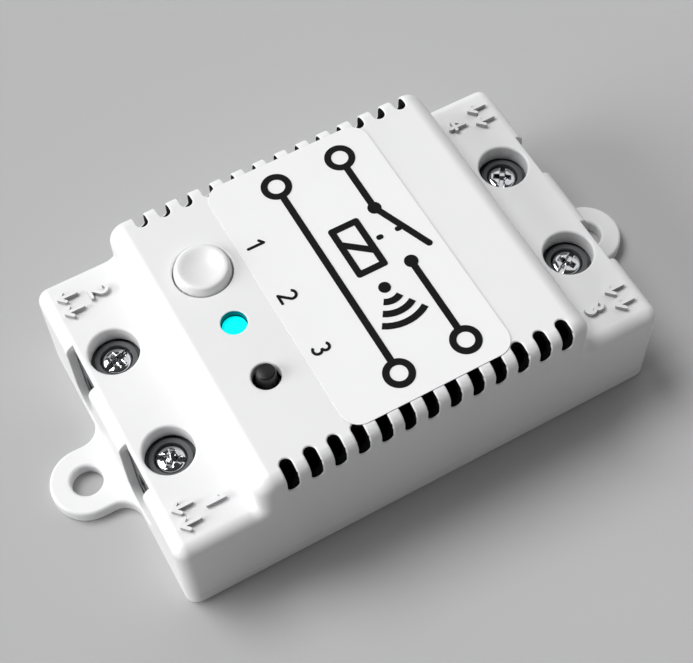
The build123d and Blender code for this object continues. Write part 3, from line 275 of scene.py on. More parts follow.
# Case screws. Four self-tapping pan heads of zinc-plated steel, cold headed with a cross recess
# and thread rolled. They sit in pockets of the base and cut their way into the cover's bosses.
def turned(name, outline, steps=48):
    """A turned piece about the Z axis, from an outline of radius and height in millimetres."""
    mesh = bpy.data.meshes.new(name)
    mesh.from_pydata(
        [(radius * mm, 0, height * mm) for radius, height in outline],
        [(n, n + 1) for n in range(len(outline) - 1)],
        [],
    )
    piece = bpy.data.objects.new(name, mesh)
    bpy.context.scene.collection.objects.link(piece)
    only(piece)
    bpy.ops.object.mode_set(mode="EDIT")
    bpy.ops.mesh.select_all(action="SELECT")
    bpy.ops.mesh.spin(steps=steps, angle=2 * math.pi, center=(0, 0, 0), axis=(0, 0, 1))
    bpy.ops.mesh.select_all(action="SELECT")
    bpy.ops.mesh.remove_doubles(threshold=0.002 * mm)
    bpy.ops.mesh.normals_make_consistent(inside=False)
    done()
    return piece


def combine(piece, other, way):
    """Cuts another piece out of this one, or joins it on, and takes the other away."""
    only(piece)
    change = piece.modifiers.new("change", "BOOLEAN")
    change.operation = way
    change.solver = "EXACT"
    change.material_mode = "TRANSFER"
    change.object = other
    bpy.ops.object.modifier_apply(modifier=change.name)
    bpy.data.objects.remove(other)
    return piece


def wedge(name, length, width, depth, foot_length, foot_width, top):
    """A cutter with drawn-in sides: a block whose lower face is smaller than its upper one."""
    bpy.ops.mesh.primitive_cube_add(size=1, location=(0, 0, (top - depth / 2) * mm))
    piece = bpy.context.object
    piece.name = name
    piece.scale = (length * mm, width * mm, depth * mm)
    placed(piece)
    pick(piece, "FACE", lambda p, normal: normal.z < -0.9)
    bpy.ops.transform.resize(
        value=(foot_length / length, foot_width / width, 1),
        center_override=(0, 0, (top - depth) * mm),
    )
    done()
    return piece


def thread(root, crest, pitch, start, count):
    """The outline of a rolled thread, from its first tooth down."""
    points = []
    for n in range(count):
        height = start - n * pitch
        points += [(root, height), (crest, height - 0.4 * pitch), (crest, height - 0.5 * pitch)]
    return points


def copy_to(piece, name, spin, x, y):
    """A copy of a piece with its own mesh, turned about Z and moved to a place."""
    twin = bpy.data.objects.new(name, piece.data.copy())
    bpy.context.scene.collection.objects.link(twin)
    twin.data.transform(Matrix.Translation((x * mm, y * mm, 0)) @ Matrix.Rotation(spin, 4, "Z"))
    return twin


def joined(pieces, name):
    """Joins several pieces into one."""
    bpy.ops.object.select_all(action="DESELECT")
    for piece in pieces:
        piece.select_set(True)
    bpy.context.view_layer.objects.active = pieces[0]
    if len(pieces) > 1:
        bpy.ops.object.join()
    pieces[0].name = name
    return pieces[0]


# Drawn metal: plating with fine turning marks round the axis of Z and a few duller patches
metal_skin, skin_in, skin_out = new_group("plated metal skin", skin_inputs, skin_outputs)
place = metal_skin.nodes.new("ShaderNodeTexCoord").outputs["Object"]
flow = between(metal_skin, noise(metal_skin, 900, 3, place), 0.0, 1.0)
colour = blend_colours(
    metal_skin, flow, skin_in.outputs["Colour"], skin_in.outputs["Flow colour"]
)
roughness = between(
    metal_skin, noise(metal_skin, 2600, 2, place),
    skin_in.outputs["Least roughness"], skin_in.outputs["Most roughness"],
)
fine = metal_skin.nodes.new("ShaderNodeMapping")
fine.inputs["Scale"].default_value = (1, 1, 4)
metal_skin.links.new(place, fine.inputs["Vector"])
marks = raised(
    metal_skin, noise(metal_skin, 5200, 1, fine.outputs["Vector"]),
    skin_in.outputs["Grain depth"],
)
metal_skin.links.new(colour, skin_out.inputs["Colour"])
metal_skin.links.new(roughness, skin_out.inputs["Roughness"])
metal_skin.links.new(marks, skin_out.inputs["Normal"])

zinc_steel = finish(
    "zinc_plated_steel", metal_skin, tone(196, 198, 202), tone(176, 178, 184), (0.22, 0.4),
    0.0012, Metallic=1,
)
pan_height, head_radius, shank_radius, screw_inset = 1.2, 2.5, 1.0, 5.0
screw_low, screw_high = (corner.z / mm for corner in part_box("case_screws"))
seat = screw_low + pan_height
pan_head = [(0, screw_low), (1.5, screw_low), (2.2, seat - 0.95), (head_radius, seat - 0.45),
            (head_radius, seat), (shank_radius, seat)]
tail = [(r, 2 * seat + 0.1 - z) for r, z in thread(0.78, shank_radius, 1.0, seat - 0.6, 6)]
case_screw = turned("case_screw", pan_head + tail + [(0.7, screw_high - 0.6), (0, screw_high)])
for turn in (0, math.pi / 2):
    recess = wedge("cross", 2.6, 0.75, 0.9, 1.0, 0.45, screw_low + 0.9)
    recess.data.transform(
        Matrix.Rotation(turn, 4, "Z") @ Matrix.Translation((0, 0, 2 * (screw_low + 0.4) * mm))
        @ Matrix.Diagonal((1, 1, -1, 1))
    )
    recess.data.flip_normals()
    combine(case_screw, recess, "DIFFERENCE")
screw_x, screw_y = half_length - screw_inset, half_width - screw_inset
screw_turns = {(-1, -1): 0.3, (-1, 1): 1.0, (1, -1): 0.7, (1, 1): 0.1}
screws = [
    copy_to(case_screw, "case_screw_copy", turn, x * screw_x, y * screw_y)
    for (x, y), turn in screw_turns.items()
]
bpy.data.objects.remove(case_screw)
case_screws = smooth(joined(screws, "case_screws_headed"))
wear(case_screws, zinc_steel)
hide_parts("case_screws")
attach(case_screws, "housing")


# Boards. Glass-epoxy boards with solder mask and tinned pads: the main board on the posts of the
# base, the control board under the roof and the radio board with its shield. Small screws hold
# the first two.
def dress(nodes, material):
    """Gives frame parts that stay as they are a material."""
    for node in nodes:
        wear(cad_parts[node], material)


board_skin, skin_in, skin_out = new_group("solder mask skin", skin_inputs, skin_outputs)
place = board_skin.nodes.new("ShaderNodeTexCoord").outputs["Object"]
tracks = board_skin.nodes.new("ShaderNodeTexBrick")
tracks.inputs["Scale"].default_value = 220
tracks.inputs["Mortar Size"].default_value = 0.035
tracks.inputs["Mortar Smooth"].default_value = 0.2
tracks.inputs["Brick Width"].default_value = 1.7
tracks.inputs["Row Height"].default_value = 0.55
board_skin.links.new(place, tracks.inputs["Vector"])
colour = blend_colours(
    board_skin, tracks.outputs["Fac"], skin_in.outputs["Colour"], skin_in.outputs["Flow colour"]
)
roughness = between(
    board_skin, noise(board_skin, 400, 2, place),
    skin_in.outputs["Least roughness"], skin_in.outputs["Most roughness"],
)
lands = raised(board_skin, tracks.outputs["Fac"], skin_in.outputs["Grain depth"])
board_skin.links.new(colour, skin_out.inputs["Colour"])
board_skin.links.new(roughness, skin_out.inputs["Roughness"])
board_skin.links.new(lands, skin_out.inputs["Normal"])
green_board = finish(
    "green_board", board_skin, tone(14, 52, 32), tone(28, 78, 48), (0.3, 0.42), 0.035
)
dress(["main_board", "control_board", "radio_board"], green_board)
bright_steel = finish(
    "bright_steel", metal_skin, tone(206, 207, 210), tone(188, 190, 194), (0.2, 0.34), 0.001,
    Metallic=1,
)
dress(
    ["board_screws", "control_board_screws", "radio_shield", "learn_switch_frame",
     "pairing_switch_frame", "relay_yoke", "relay_core", "relay_armature"],
    bright_steel,
)


# Terminal blocks. Four grey flame-retardant nylon bodies, one for each wire, soldered to the
# main board by the pins of their strips. The round collar of each stands up into a well of the
# cover, and the arched hole for the wire faces the notch in its end wall.
ends = {1: (-1, -1), 2: (-1, 1), 3: (1, -1), 4: (1, 1)}
grey_nylon = finish(
    "grey_nylon", moulded_skin, tone(84, 85, 86), tone(78, 79, 81), (0.45, 0.6), 0.004
)
for number in ends:
    body = node_copy(f"terminal_block_{number}", f"terminal_body_{number}")
    low, high = (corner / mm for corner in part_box(f"terminal_block_{number}"))
    middle = (low + high) / 2

    def outer_edge(p, run, bend):
        return bend > 40 and p.z > low.z + 0.1 and (
            abs(p.z - high.z) < 0.05 or abs(abs(p.y - middle.y) - (high.y - low.y) / 2) < 0.05
            or abs(abs(p.x - middle.x) - (high.x - low.x) / 2) < 0.05
        )

    round_over(body, 0.12, 2, outer_edge)
    smooth(body)
    wear(body, grey_nylon)
    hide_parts(f"terminal_block_{number}")
    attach(body, "housing")


# Contact strips and clamp cages. The bent strip of tinned brass carries the current to the
# board. The steel cage hangs on the screw, which pulls it up so that it traps the wire.
tinned_brass = finish(
    "tinned_brass", metal_skin, tone(214, 186, 120), tone(196, 164, 96), (0.28, 0.42), 0.001,
    Metallic=1,
)
dress([f"contact_strip_{number}" for number in ends], tinned_brass)
dress([f"clamp_cage_{number}" for number in ends], zinc_steel)


# Terminal screws. M3 cheese heads of bright nickel-plated steel, cold headed with a slot and a
# cross recess together, thread rolled. Each turns in its collar and stays captive there.
bright_nickel = finish(
    "bright_nickel", metal_skin, tone(228, 229, 231), tone(212, 214, 217), (0.03, 0.1),
    0.0006, Metallic=1,
)
head_low, head_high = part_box("terminal_screw_1")
screw_tip, head_top = head_low.z / mm, head_high.z / mm
head_seat = head_top - 1.8
cheese_head = [
    (0, head_top - 0.05), (1.2, head_top - 0.07), (2.0, head_top - 0.14),
    (2.3, head_top - 0.26), (2.44, head_top - 0.42), (2.5, head_top - 0.62),
    (2.5, head_seat + 0.12), (2.42, head_seat), (1.45, head_seat),
]
shank = thread(1.2, 1.45, 0.5, head_seat - 0.3, 7)
terminal_screw = turned(
    "terminal_screw", cheese_head + shank + [(1.1, screw_tip), (0, screw_tip)], steps=64
)
slot_cut = wedge("slot", 5.4, 0.85, 1.1, 5.4, 0.7, head_top + 0.05)
combine(terminal_screw, slot_cut, "DIFFERENCE")
for turn in (0, math.pi / 2):
    recess = wedge("cross", 3.3, 1.0, 1.75, 0.9, 0.5, head_top + 0.05)
    recess.data.transform(Matrix.Rotation(turn, 4, "Z"))
    combine(terminal_screw, recess, "DIFFERENCE")
round_over(terminal_screw, 0.05, 2, lambda p, run, bend: bend > 35 and p.z > head_top - 0.5
           and math.hypot(p.x, p.y) < 2.45)
smooth(terminal_screw, 30)
slot_turns = {1: -0.62, 2: 0.35, 3: 0.5, 4: 0.95}
terminal_inset, terminal_side_inset = 6.8, 17.2
terminal_x, terminal_y = half_length - terminal_inset, half_width - terminal_side_inset
for number, (side_x, side_y) in ends.items():
    screw = copy_to(
        terminal_screw, f"terminal_screw_headed_{number}", slot_turns[number],
        side_x * terminal_x, side_y * terminal_y,
    )
    wear(screw, bright_nickel)
    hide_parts(f"terminal_screw_{number}")
    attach(screw, f"screw_{number}")
bpy.data.objects.remove(terminal_screw)


# Relay. A sealed cube of black polyester with its coil upright inside: base, bobbin and winding,
# iron parts, the contact spring on the armature, and the two fixed contacts.
black_case = finish(
    "black_polyester", moulded_skin, tone(28, 28, 30), tone(34, 34, 36), (0.35, 0.5), 0.004
)
dress(["relay_case"], black_case)
cream_insulator = finish(
    "cream_insulator", moulded_skin, tone(206, 198, 176), tone(196, 188, 166), (0.4, 0.55), 0.004
)
dress(["relay_base", "relay_bobbin"], cream_insulator)
dress(["relay_contact_spring", "relay_open_contact", "relay_closed_contact"],
      tinned_brass)

# Wire turns: round enamelled wire, side by side up the height of the winding
wire_skin, skin_in, skin_out = new_group("wound wire skin", skin_inputs, skin_outputs)
place = wire_skin.nodes.new("ShaderNodeTexCoord").outputs["Object"]
turns = wire_skin.nodes.new("ShaderNodeTexWave")
turns.wave_type = "BANDS"
turns.bands_direction = "Z"
turns.inputs["Scale"].default_value = 900
turns.inputs["Distortion"].default_value = 0.6
wire_skin.links.new(place, turns.inputs["Vector"])
colour = blend_colours(
    wire_skin, turns.outputs["Fac"], skin_in.outputs["Flow colour"], skin_in.outputs["Colour"]
)
roughness = between(
    wire_skin, noise(wire_skin, 600, 2, place),
    skin_in.outputs["Least roughness"], skin_in.outputs["Most roughness"],
)
rounds = raised(wire_skin, turns.outputs["Fac"], skin_in.outputs["Grain depth"])
wire_skin.links.new(colour, skin_out.inputs["Colour"])
wire_skin.links.new(roughness, skin_out.inputs["Roughness"])
wire_skin.links.new(rounds, skin_out.inputs["Normal"])
enamelled_copper = finish(
    "enamelled_copper", wire_skin, tone(202, 112, 58), tone(120, 58, 26), (0.22, 0.34), 0.12,
    Metallic=0.8,
)
dress(["relay_winding", "choke_winding"], enamelled_copper)


# Power supply. The ferrite transformer under yellow tape, the two aluminium capacitors in their
# printed sleeves, the film capacitor, varistor, fuse, choke, bridge and regulator.
ferrite = finish(
    "ferrite", moulded_skin, tone(52, 52, 54), tone(64, 64, 66), (0.55, 0.75), 0.01
)
dress(["transformer_core", "choke_drum"], ferrite)
yellow_tape = finish(
    "yellow_tape", wire_skin, tone(226, 186, 60), tone(206, 160, 44), (0.28, 0.4), 0.03
)
dress(["transformer_turns"], yellow_tape)
black_phenolic = finish(
    "black_phenolic", moulded_skin, tone(30, 30, 31), tone(38, 38, 39), (0.4, 0.55), 0.005
)
dress(["transformer_former", "fuse", "bridge_rectifier", "voltage_regulator", "board_header",
       "learn_switch", "pairing_switch"], black_phenolic)
sleeve = finish(
    "capacitor_sleeve", moulded_skin, tone(26, 34, 66), tone(32, 40, 76), (0.22, 0.32), 0.002
)
dress(["input_capacitor", "output_capacitor"], sleeve)
film_box = finish(
    "film_capacitor_box", moulded_skin, tone(214, 190, 70), tone(204, 180, 62), (0.3, 0.45), 0.003
)
dress(["film_capacitor", "varistor"], film_box)


# Status lamp. A surface-mounted LED on the control board, and over it the clear acrylic pipe
# whose flat end shows cyan in its hole in the roof. A square flange keeps the pipe under it.
led_body = finish(
    "led_body", moulded_skin, tone(238, 236, 226), tone(228, 226, 214), (0.3, 0.4), 0.002
)
dress(["status_led"], led_body)
pipe = node_copy("light_pipe", "light_pipe_rod")
pipe_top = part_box("light_pipe")[1].z / mm
round_over(pipe, 0.12, 2, lambda p, run, bend: bend > 40 and p.z > pipe_top - 0.05)
smooth(pipe)
# Painted glow: the pipe's sides and the wall of its hole in the roof take a dark cyan, standing
# in for the lamp's light on them
acrylic_painted_cyan_glow = finish(
    "acrylic_painted_cyan_glow", moulded_skin, tone(0, 118, 124), tone(0, 108, 116), (0.12, 0.2), 0.0005
)
lit_acrylic = finish(
    "lit_acrylic", moulded_skin, tone(0, 190, 194), tone(0, 184, 190), (0.3, 0.4), 0.0005,
    Emission_Color=tone(0, 255, 255), Emission_Strength=0.8, Specular_IOR_Level=0.1,
)
wear(pipe, acrylic_painted_cyan_glow)
pipe.data.materials.append(lit_acrylic)
for face in pipe.data.polygons:
    if face.normal.z > 0.5 and face.center.z / mm > pipe_top - 0.2:
        face.material_index = 1
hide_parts("light_pipe")
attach(pipe, "housing")


# Learn key. A white ABS cap with a dished top and a rounded rim, which presses the post of a
# 12 mm tactile switch. Its flange keeps it under the roof.
control_x = -19.05
learn_y, lamp_y, pairing_y = 11.499, 0.502, -10.352
cap_low, cap_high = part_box("learn_button")
flange_bottom, cap_top = cap_low.z / mm, cap_high.z / mm
flange_top, rim_radius, dish_radius, dish_depth = flange_bottom + 0.8, 0.5, 3.6, 0.6
cap_outline = [(0, flange_bottom), (5.6, flange_bottom), (5.6, flange_top), (4.7, flange_top),
               (4.68, 27.5)]
rim_middle = 4.38 - rim_radius
for n in range(7):
    a = math.pi / 2 * n / 6
    cap_outline.append(
        (rim_middle + rim_radius * math.cos(a), cap_top - rim_radius * (1 - math.sin(a)))
    )
for n in range(13):
    out = 1 - n / 12
    cap_outline.append((dish_radius * out, cap_top - dish_depth * (1 - out ** 2.4) ** 1.3))
learn_cap = turned("learn_cap", cap_outline, steps=72)
cap_socket = 3.9
bpy.ops.mesh.primitive_cube_add(size=1, location=(0, 0, (flange_bottom + 1.5) * mm))
post_room = bpy.context.object
socket_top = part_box("learn_plunger")[1].z / mm + 0.1
post_room.scale = (cap_socket * mm, cap_socket * mm, 2 * (socket_top - flange_bottom) * mm)
post_room.location.z = flange_bottom * mm
combine(learn_cap, placed(post_room), "DIFFERENCE")
learn_cap.data.transform(Matrix.Translation((control_x * mm, learn_y * mm, 0)))
smooth(learn_cap)
gloss_abs = finish(
    "cap_abs", moulded_skin, tone(236, 236, 236), tone(233, 233, 234), (0.26, 0.34), 0.001,
    Specular_IOR_Level=0.5,
)
wear(learn_cap, gloss_abs)
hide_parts("learn_button")
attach(learn_cap, "learn_key")
dress(["learn_plunger"], black_phenolic)


# Pairing key. The bare black plunger of a 6 mm tactile switch, tapered, with a crisp rim round
# its flat top. It stands out of a small hole with a bevelled rim.
key_low, key_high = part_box("pairing_button")
key_foot, key_top = key_low.z / mm, key_high.z / mm
pairing_key = turned("pairing_plunger", [
    (0, key_foot), (1.7, key_foot), (1.7, key_top - 2.2), (1.52, key_top - 0.22),
    (1.47, key_top - 0.1), (1.36, key_top - 0.02), (1.3, key_top), (0, key_top),
], steps=48)
pairing_key.data.transform(Matrix.Translation((control_x * mm, pairing_y * mm, 0)))
smooth(pairing_key, 30)
black_key = finish(
    "black_key", moulded_skin, tone(16, 16, 17), tone(22, 22, 23), (0.28, 0.4), 0.002,
    Specular_IOR_Level=0.35,
)
wear(pairing_key, black_key)
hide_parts("pairing_button")
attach(pairing_key, "pairing_key")


# Top cover. One thin shell of white ABS: two low shoulders over the terminals, the raised block
# with vents over its long edges, a well over each terminal screw, a notch for each wire, and
# bosses, pads and hangers inside. It is moulded round a core, which makes its hollow here.
def block(name, low, high):
    """An upright block between two corners."""
    low, high = Vector(low) * mm, Vector(high) * mm
    bpy.ops.mesh.primitive_cube_add(size=1, location=(low + high) / 2)
    piece = bpy.context.object
    piece.name = name
    piece.scale = high - low
    return placed(piece)


def peg(name, x, y, radius, bottom, top, sides=64):
    """An upright round or many-sided peg."""
    bpy.ops.mesh.primitive_cylinder_add(
        vertices=sides, radius=radius * mm, depth=(top - bottom) * mm,
        location=(x * mm, y * mm, (top + bottom) / 2 * mm),
    )
    piece = bpy.context.object
    piece.name = name
    return placed(piece)


def anywhere(p, normal):
    return True


def stepped(name, length, width, bottom, step, top_length, top):
    """A long block with a raised middle."""
    piece = block(name, (-length / 2, -width / 2, bottom), (length / 2, width / 2, step))
    for side in (-1, 1):
        pick(piece, "FACE", anywhere)
        bpy.ops.mesh.bisect(plane_co=(side * top_length / 2 * mm, 0, 0), plane_no=(1, 0, 0))
        done()
    pick(piece, "FACE", lambda p, normal: normal.z > 0.9 and abs(p.x) < top_length / 2)
    bpy.ops.mesh.extrude_region_move(
        TRANSFORM_OT_translate={"value": (0, 0, (top - step) * mm)}
    )
    bpy.ops.mesh.select_all(action="SELECT")
    bpy.ops.mesh.dissolve_limited(angle_limit=math.radians(0.5))
    done()
    return piece


shoulder_height, body_height = 19.2, 27.5
shoulder_length, wall, roof_thickness = 14.1, 1.5, 1.8
block_half = half_length - shoulder_length
crown_radius, cove_radius, edge_radius = 3.15, 1.4, 2.2

cover = stepped("top_cover_moulding", 2 * half_length, 2 * half_width, parting,
                shoulder_height, 2 * block_half, body_height)
round_over(cover, crown_radius, 10, lambda p, run, bend: abs(run.y) > 1 and p.z > 27
           and bend > 40)
round_over(cover, cove_radius, 6, lambda p, run, bend: abs(run.y) > 1 and bend > 40
           and abs(p.z - shoulder_height) < 0.1 and abs(p.x) < block_half + 0.1)
round_over(cover, edge_radius, 8, lambda p, run, bend: bend > 40 and p.z > parting + 0.1)

# Painted shade: the inside of the shell and the walls of the vents take a near-black ABS colour,
# seen only through the vents and notches
inside_painted_shade = finish(
    "abs_painted_shade", moulded_skin, tone(24, 24, 25), tone(20, 20, 21), (0.7, 0.8), 0.004,
    Specular_IOR_Level=0.05,
)
core = stepped("core", 2 * (half_length - wall), 2 * (half_width - wall), parting - 1,
               shoulder_height - roof_thickness, 2 * (block_half - wall),
               body_height - roof_thickness)
boss_radius, boss_pilot, boss_depth = 2.8, 1.1, 9.5
well_radius, well_depth, well_wall = 4.15, 3.2, 0.9
for side_x in (-1, 1):
    for side_y in (-1, 1):
        x, y = side_x * screw_x, side_y * screw_y
        combine(core, peg("boss", x, y, boss_radius, parting, 21, 24), "DIFFERENCE")
        x, y, reach = side_x * terminal_x, side_y * terminal_y, well_radius + well_wall
        pad = block("pad", (x - reach, y - reach, shoulder_height - well_depth),
                    (x + reach, y + reach, 21))
        combine(core, pad, "DIFFERENCE")
hanger_y, hanger_size, control_top = 22.2, 4.0, 19.4
for side_y in (-1, 1):
    low = (control_x - hanger_size / 2, side_y * hanger_y - hanger_size / 2, control_top)
    high = (control_x + hanger_size / 2, side_y * hanger_y + hanger_size / 2, 29)
    combine(core, block("hanger", low, high), "DIFFERENCE")
# The core's faces become the inside of the shell, so they carry the painted shade
core.data.materials.clear()
core.data.materials.append(inside_painted_shade)
for face in core.data.polygons:
    face.material_index = 0
wear(cover, white_abs)
combine(cover, core, "DIFFERENCE")

pilots = [
    peg("pilot", x * screw_x, y * screw_y, boss_pilot, parting - 1, parting + boss_depth, 24)
    for x in (-1, 1) for y in (-1, 1)
] + [
    peg("pilot", control_x, y * hanger_y, 0.8, control_top - 1, control_top + 4.5, 24)
    for y in (-1, 1)
]
combine(cover, joined(pilots, "pilots"), "DIFFERENCE")


def slot_tool(x, y, z, radius, depth, axis, run):
    """A cutter for a slot with one round end: a peg whose far half is drawn out by run."""
    turn = {"X": (0, math.pi / 2, 0), "Y": (math.pi / 2, 0, 0), "Z": (0, 0, 0)}[axis]
    sides = 32
    bpy.ops.mesh.primitive_cylinder_add(vertices=sides, radius=radius * mm, depth=depth * mm)
    piece = bpy.context.object
    piece.data.transform(Matrix.Rotation(math.pi / sides, 4, "Z"))
    piece.rotation_euler = turn
    placed(piece)
    ahead = Vector(run).normalized()
    pick(piece, "FACE", anywhere)
    mesh = bmesh.from_edit_mesh(piece.data)
    for corner in mesh.verts:
        corner.select_set(corner.co.dot(ahead) > 0)
    mesh.select_flush_mode()
    bpy.ops.mesh.select_mode(type="VERT")
    bpy.ops.transform.translate(value=Vector(run) * mm)
    done()
    piece.data.transform(Matrix.Translation(Vector((x, y, z)) * mm))
    return piece


vent_pitch, vent_offset, vent_count, vent_radius = 4.0, 0.6, 13, 1.0
vent_reach, vent_drop = 3.4, 4.4
vent_xs = [vent_offset + (n - (vent_count - 1) / 2) * vent_pitch for n in range(vent_count)]
roof_tools, side_tools = [], []
for x in vent_xs:
    for side in (-1, 1):
        tip = side * (half_width - vent_reach + vent_radius)
        roof_tools.append(slot_tool(x, tip, 26.9, vent_radius, 2.6, "Z", (0, side * 4, 0)))
        foot = body_height - vent_drop + vent_radius
        flank = side * (half_width - 0.6)
        side_tools.append(slot_tool(x, flank, foot, vent_radius, 2.2, "Y", (0, 0, 5)))
# The vent cutters carry the painted shade onto the walls of the vents
for tools, name in ((roof_tools, "roof_tools"), (side_tools, "side_tools")):
    cutter = joined(tools, name)
    cutter.data.materials.append(inside_painted_shade)
    combine(cover, cutter, "DIFFERENCE")

learn_hole_radius, lamp_hole_radius, pairing_hole_radius = 4.9, 2.15, 2.3
# The lamp hole's cutter carries the painted cyan glow onto the wall of the hole
lamp_hole = peg("lamp_hole", control_x, lamp_y, lamp_hole_radius, 25, 29, 48)
lamp_hole.data.materials.append(acrylic_painted_cyan_glow)
combine(cover, lamp_hole, "DIFFERENCE")

# The cutter of a notch reaches past both faces of the wall, so that no film of it is left
notch_radius, notch_sill = 4.3, 1.0
holes = [
    peg("learn_hole", control_x, learn_y, learn_hole_radius, 25, 29, 72),
    peg("pairing_hole", control_x, pairing_y, pairing_hole_radius, 25, 29, 48),
]
for side_x, side_y in ends.values():
    x, y = side_x * terminal_x, side_y * terminal_y
    holes.append(peg("well", x, y, well_radius, shoulder_height - well_depth - 1, 21, 72))
    foot = parting + notch_sill + notch_radius
    flank = side_x * (half_length - wall / 2 + 0.49)
    holes.append(slot_tool(flank, y, foot, notch_radius, wall + 1.02, "X", (0, 0, 14)))
combine(cover, joined(holes, "holes"), "DIFFERENCE")
pick(cover, "FACE", anywhere)
bpy.ops.mesh.remove_doubles(threshold=0.004 * mm)
bpy.ops.mesh.dissolve_degenerate(threshold=0.004 * mm)
done()


def over(value, limit):
    return max(0.0, value - limit)


def on_skin(p):
    """True on the outside of the cover: its flats and the rounds between them."""
    top = body_height if abs(p.x) < block_half + 0.1 else shoulder_height
    side = math.hypot(over(abs(p.y), half_width - edge_radius), over(p.z, top - edge_radius))
    end = math.hypot(over(abs(p.x), half_length - edge_radius), over(p.z, top - edge_radius))
    flat = abs(p.z - top) < 0.04
    return flat or abs(side - edge_radius) < 0.08 or abs(end - edge_radius) < 0.08


def near(p, x, y, radius):
    return abs(math.hypot(p.x - x, p.y - y) - radius) < 0.06


def vent_rim(p, run, bend):
    return (bend > 30 and p.z > body_height - vent_drop - 0.1 and on_skin(p)
            and abs(p.y) > half_width - vent_reach - 0.1
            and min(abs(p.x - x) for x in vent_xs) < vent_radius + 0.02)


def well_rim(p, run, bend):
    return bend > 60 and abs(p.z - shoulder_height) < 0.02 and any(
        near(p, x * terminal_x, y * terminal_y, well_radius) for x, y in ends.values())


def notch_rim(p, run, bend):
    return (bend > 40 and p.z > parting + 0.5 and abs(p.x) > half_length - wall - 0.2
            and on_skin(p) and abs(abs(p.y) - terminal_y) < notch_radius + 0.02)


def control_rim(p, run, bend):
    return bend > 60 and abs(p.z - body_height) < 0.02 and (
        near(p, control_x, learn_y, learn_hole_radius)
        or near(p, control_x, pairing_y, pairing_hole_radius))


def lamp_rim(p, run, bend):
    return (bend > 60 and abs(p.z - body_height) < 0.02
            and near(p, control_x, lamp_y, lamp_hole_radius))


vent_round, well_round, notch_round, control_round, lamp_round = 0.26, 0.42, 0.22, 0.35, 0.12
round_over(cover, vent_round, 3, vent_rim)
round_over(cover, well_round, 4, well_rim)
round_over(cover, notch_round, 3, notch_rim)
round_over(cover, control_round, 3, control_rim)
round_over(cover, lamp_round, 2, lamp_rim)
round_over(cover, parting_edge, 2, lambda p, run, bend: bend > 40
           and abs(p.z - parting) < 0.02
           and (abs(p.y) > half_width - 1 or abs(p.x) > half_length - 1))
smooth(cover)
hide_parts("top_cover")
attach(cover, "housing")


# Raised marks. Strokes moulded proud of the shoulders, with painted shade on their walls, which
# are grey
# against their white faces: a plain terminal number beside each screw, and two small arrows that
# point out at the OUT end and in at the IN end.
mark_height, mark_sink, stroke = 0.85, 0.06, 0.56


def bar(start, end, width, bottom, top):
    """A flat stroke between two points, with ends rounded by almost half its width."""
    start, end = Vector(start), Vector(end)
    run = (end - start).length
    bpy.ops.mesh.primitive_cube_add(size=1)
    piece = bpy.context.object
    piece.scale = ((run + width) * mm, width * mm, (top - bottom) * mm)
    placed(piece)
    round_over(piece, 0.46 * width, 4, lambda p, run, bend: abs(run.z) > 0.01 and bend > 80)
    middle = (start + end) / 2
    turn = math.atan2(end.y - start.y, end.x - start.x)
    piece.data.transform(
        Matrix.Translation((middle.x * mm, middle.y * mm, (bottom + top) / 2 * mm))
        @ Matrix.Rotation(turn, 4, "Z")
    )
    return piece


def arc(x, y, radius, width, start, sweep, bottom, top):
    """A flat stroke along part of a circle, from a start through a sweep, both in degrees."""
    mesh = bpy.data.meshes.new("arc")
    mesh.from_pydata(
        [((radius + edge * width / 2) * mm, 0, height * mm)
         for edge, height in ((-1, bottom), (1, bottom), (1, top), (-1, top))],
        [], [(0, 1, 2, 3)],
    )
    piece = bpy.data.objects.new("arc", mesh)
    bpy.context.scene.collection.objects.link(piece)
    pick(piece, "FACE", anywhere)
    bpy.ops.mesh.spin(
        steps=max(6, int(sweep / 7)), angle=math.radians(sweep), center=(0, 0, 0),
        axis=(0, 0, 1),
    )
    bpy.ops.mesh.select_all(action="SELECT")
    bpy.ops.mesh.remove_doubles(threshold=0.002 * mm)
    bpy.ops.mesh.normals_make_consistent(inside=False)
    done()
    piece.data.transform(
        Matrix.Translation((x * mm, y * mm, 0))
        @ Matrix.Rotation(math.radians(start + sweep), 4, "Z")
    )
    return piece


def figure(number, x, y, height, width, bottom, top):
    """The strokes of a plain figure that reads towards -Y, with its top towards +X."""
    half = (height - width) / 2

    def line(*places):
        ends_of_line = [(x + up * half, y - along * half) for along, up in places]
        return [bar(start, end, width, bottom, top)
                for start, end in zip(ends_of_line, ends_of_line[1:])]

    def bow(up, radius, start, sweep):
        return [arc(x + up * half, y, radius * half, width, start - 90, sweep, bottom, top)]

    if number == 1:
        return line((-0.4, 0.62), (0.1, 1), (0.1, -1))
    if number == 2:
        return bow(0.45, 0.55, -40, 200) + line((0.42, 0.1), (-0.55, -1), (0.6, -1))
    if number == 3:
        return bow(0.53, 0.47, -90, 235) + bow(-0.47, 0.53, -145, 235)
    return line((0.3, -1), (0.3, 1), (-0.62, -0.35), (0.68, -0.35))


def fused(pieces, name):
    """Melts pieces that cross each other into one.

    Neighbours differ by a few thousandths of a millimetre, so that no two faces or corners meet.
    """
    for n, other in enumerate(pieces[1:], start=1):
        growth = 0.006 * (n % 5) * mm
        middle = sum((Vector(corner) for corner in other.bound_box), Vector()) / 8
        grown = Matrix.Diagonal([1 + growth / size for size in other.dimensions] + [1])
        other.data.transform(
            Matrix.Translation(middle) @ grown @ Matrix.Translation(-middle)
        )
        combine(pieces[0], other, "UNION")
    pieces[0].name = name
    return pieces[0]


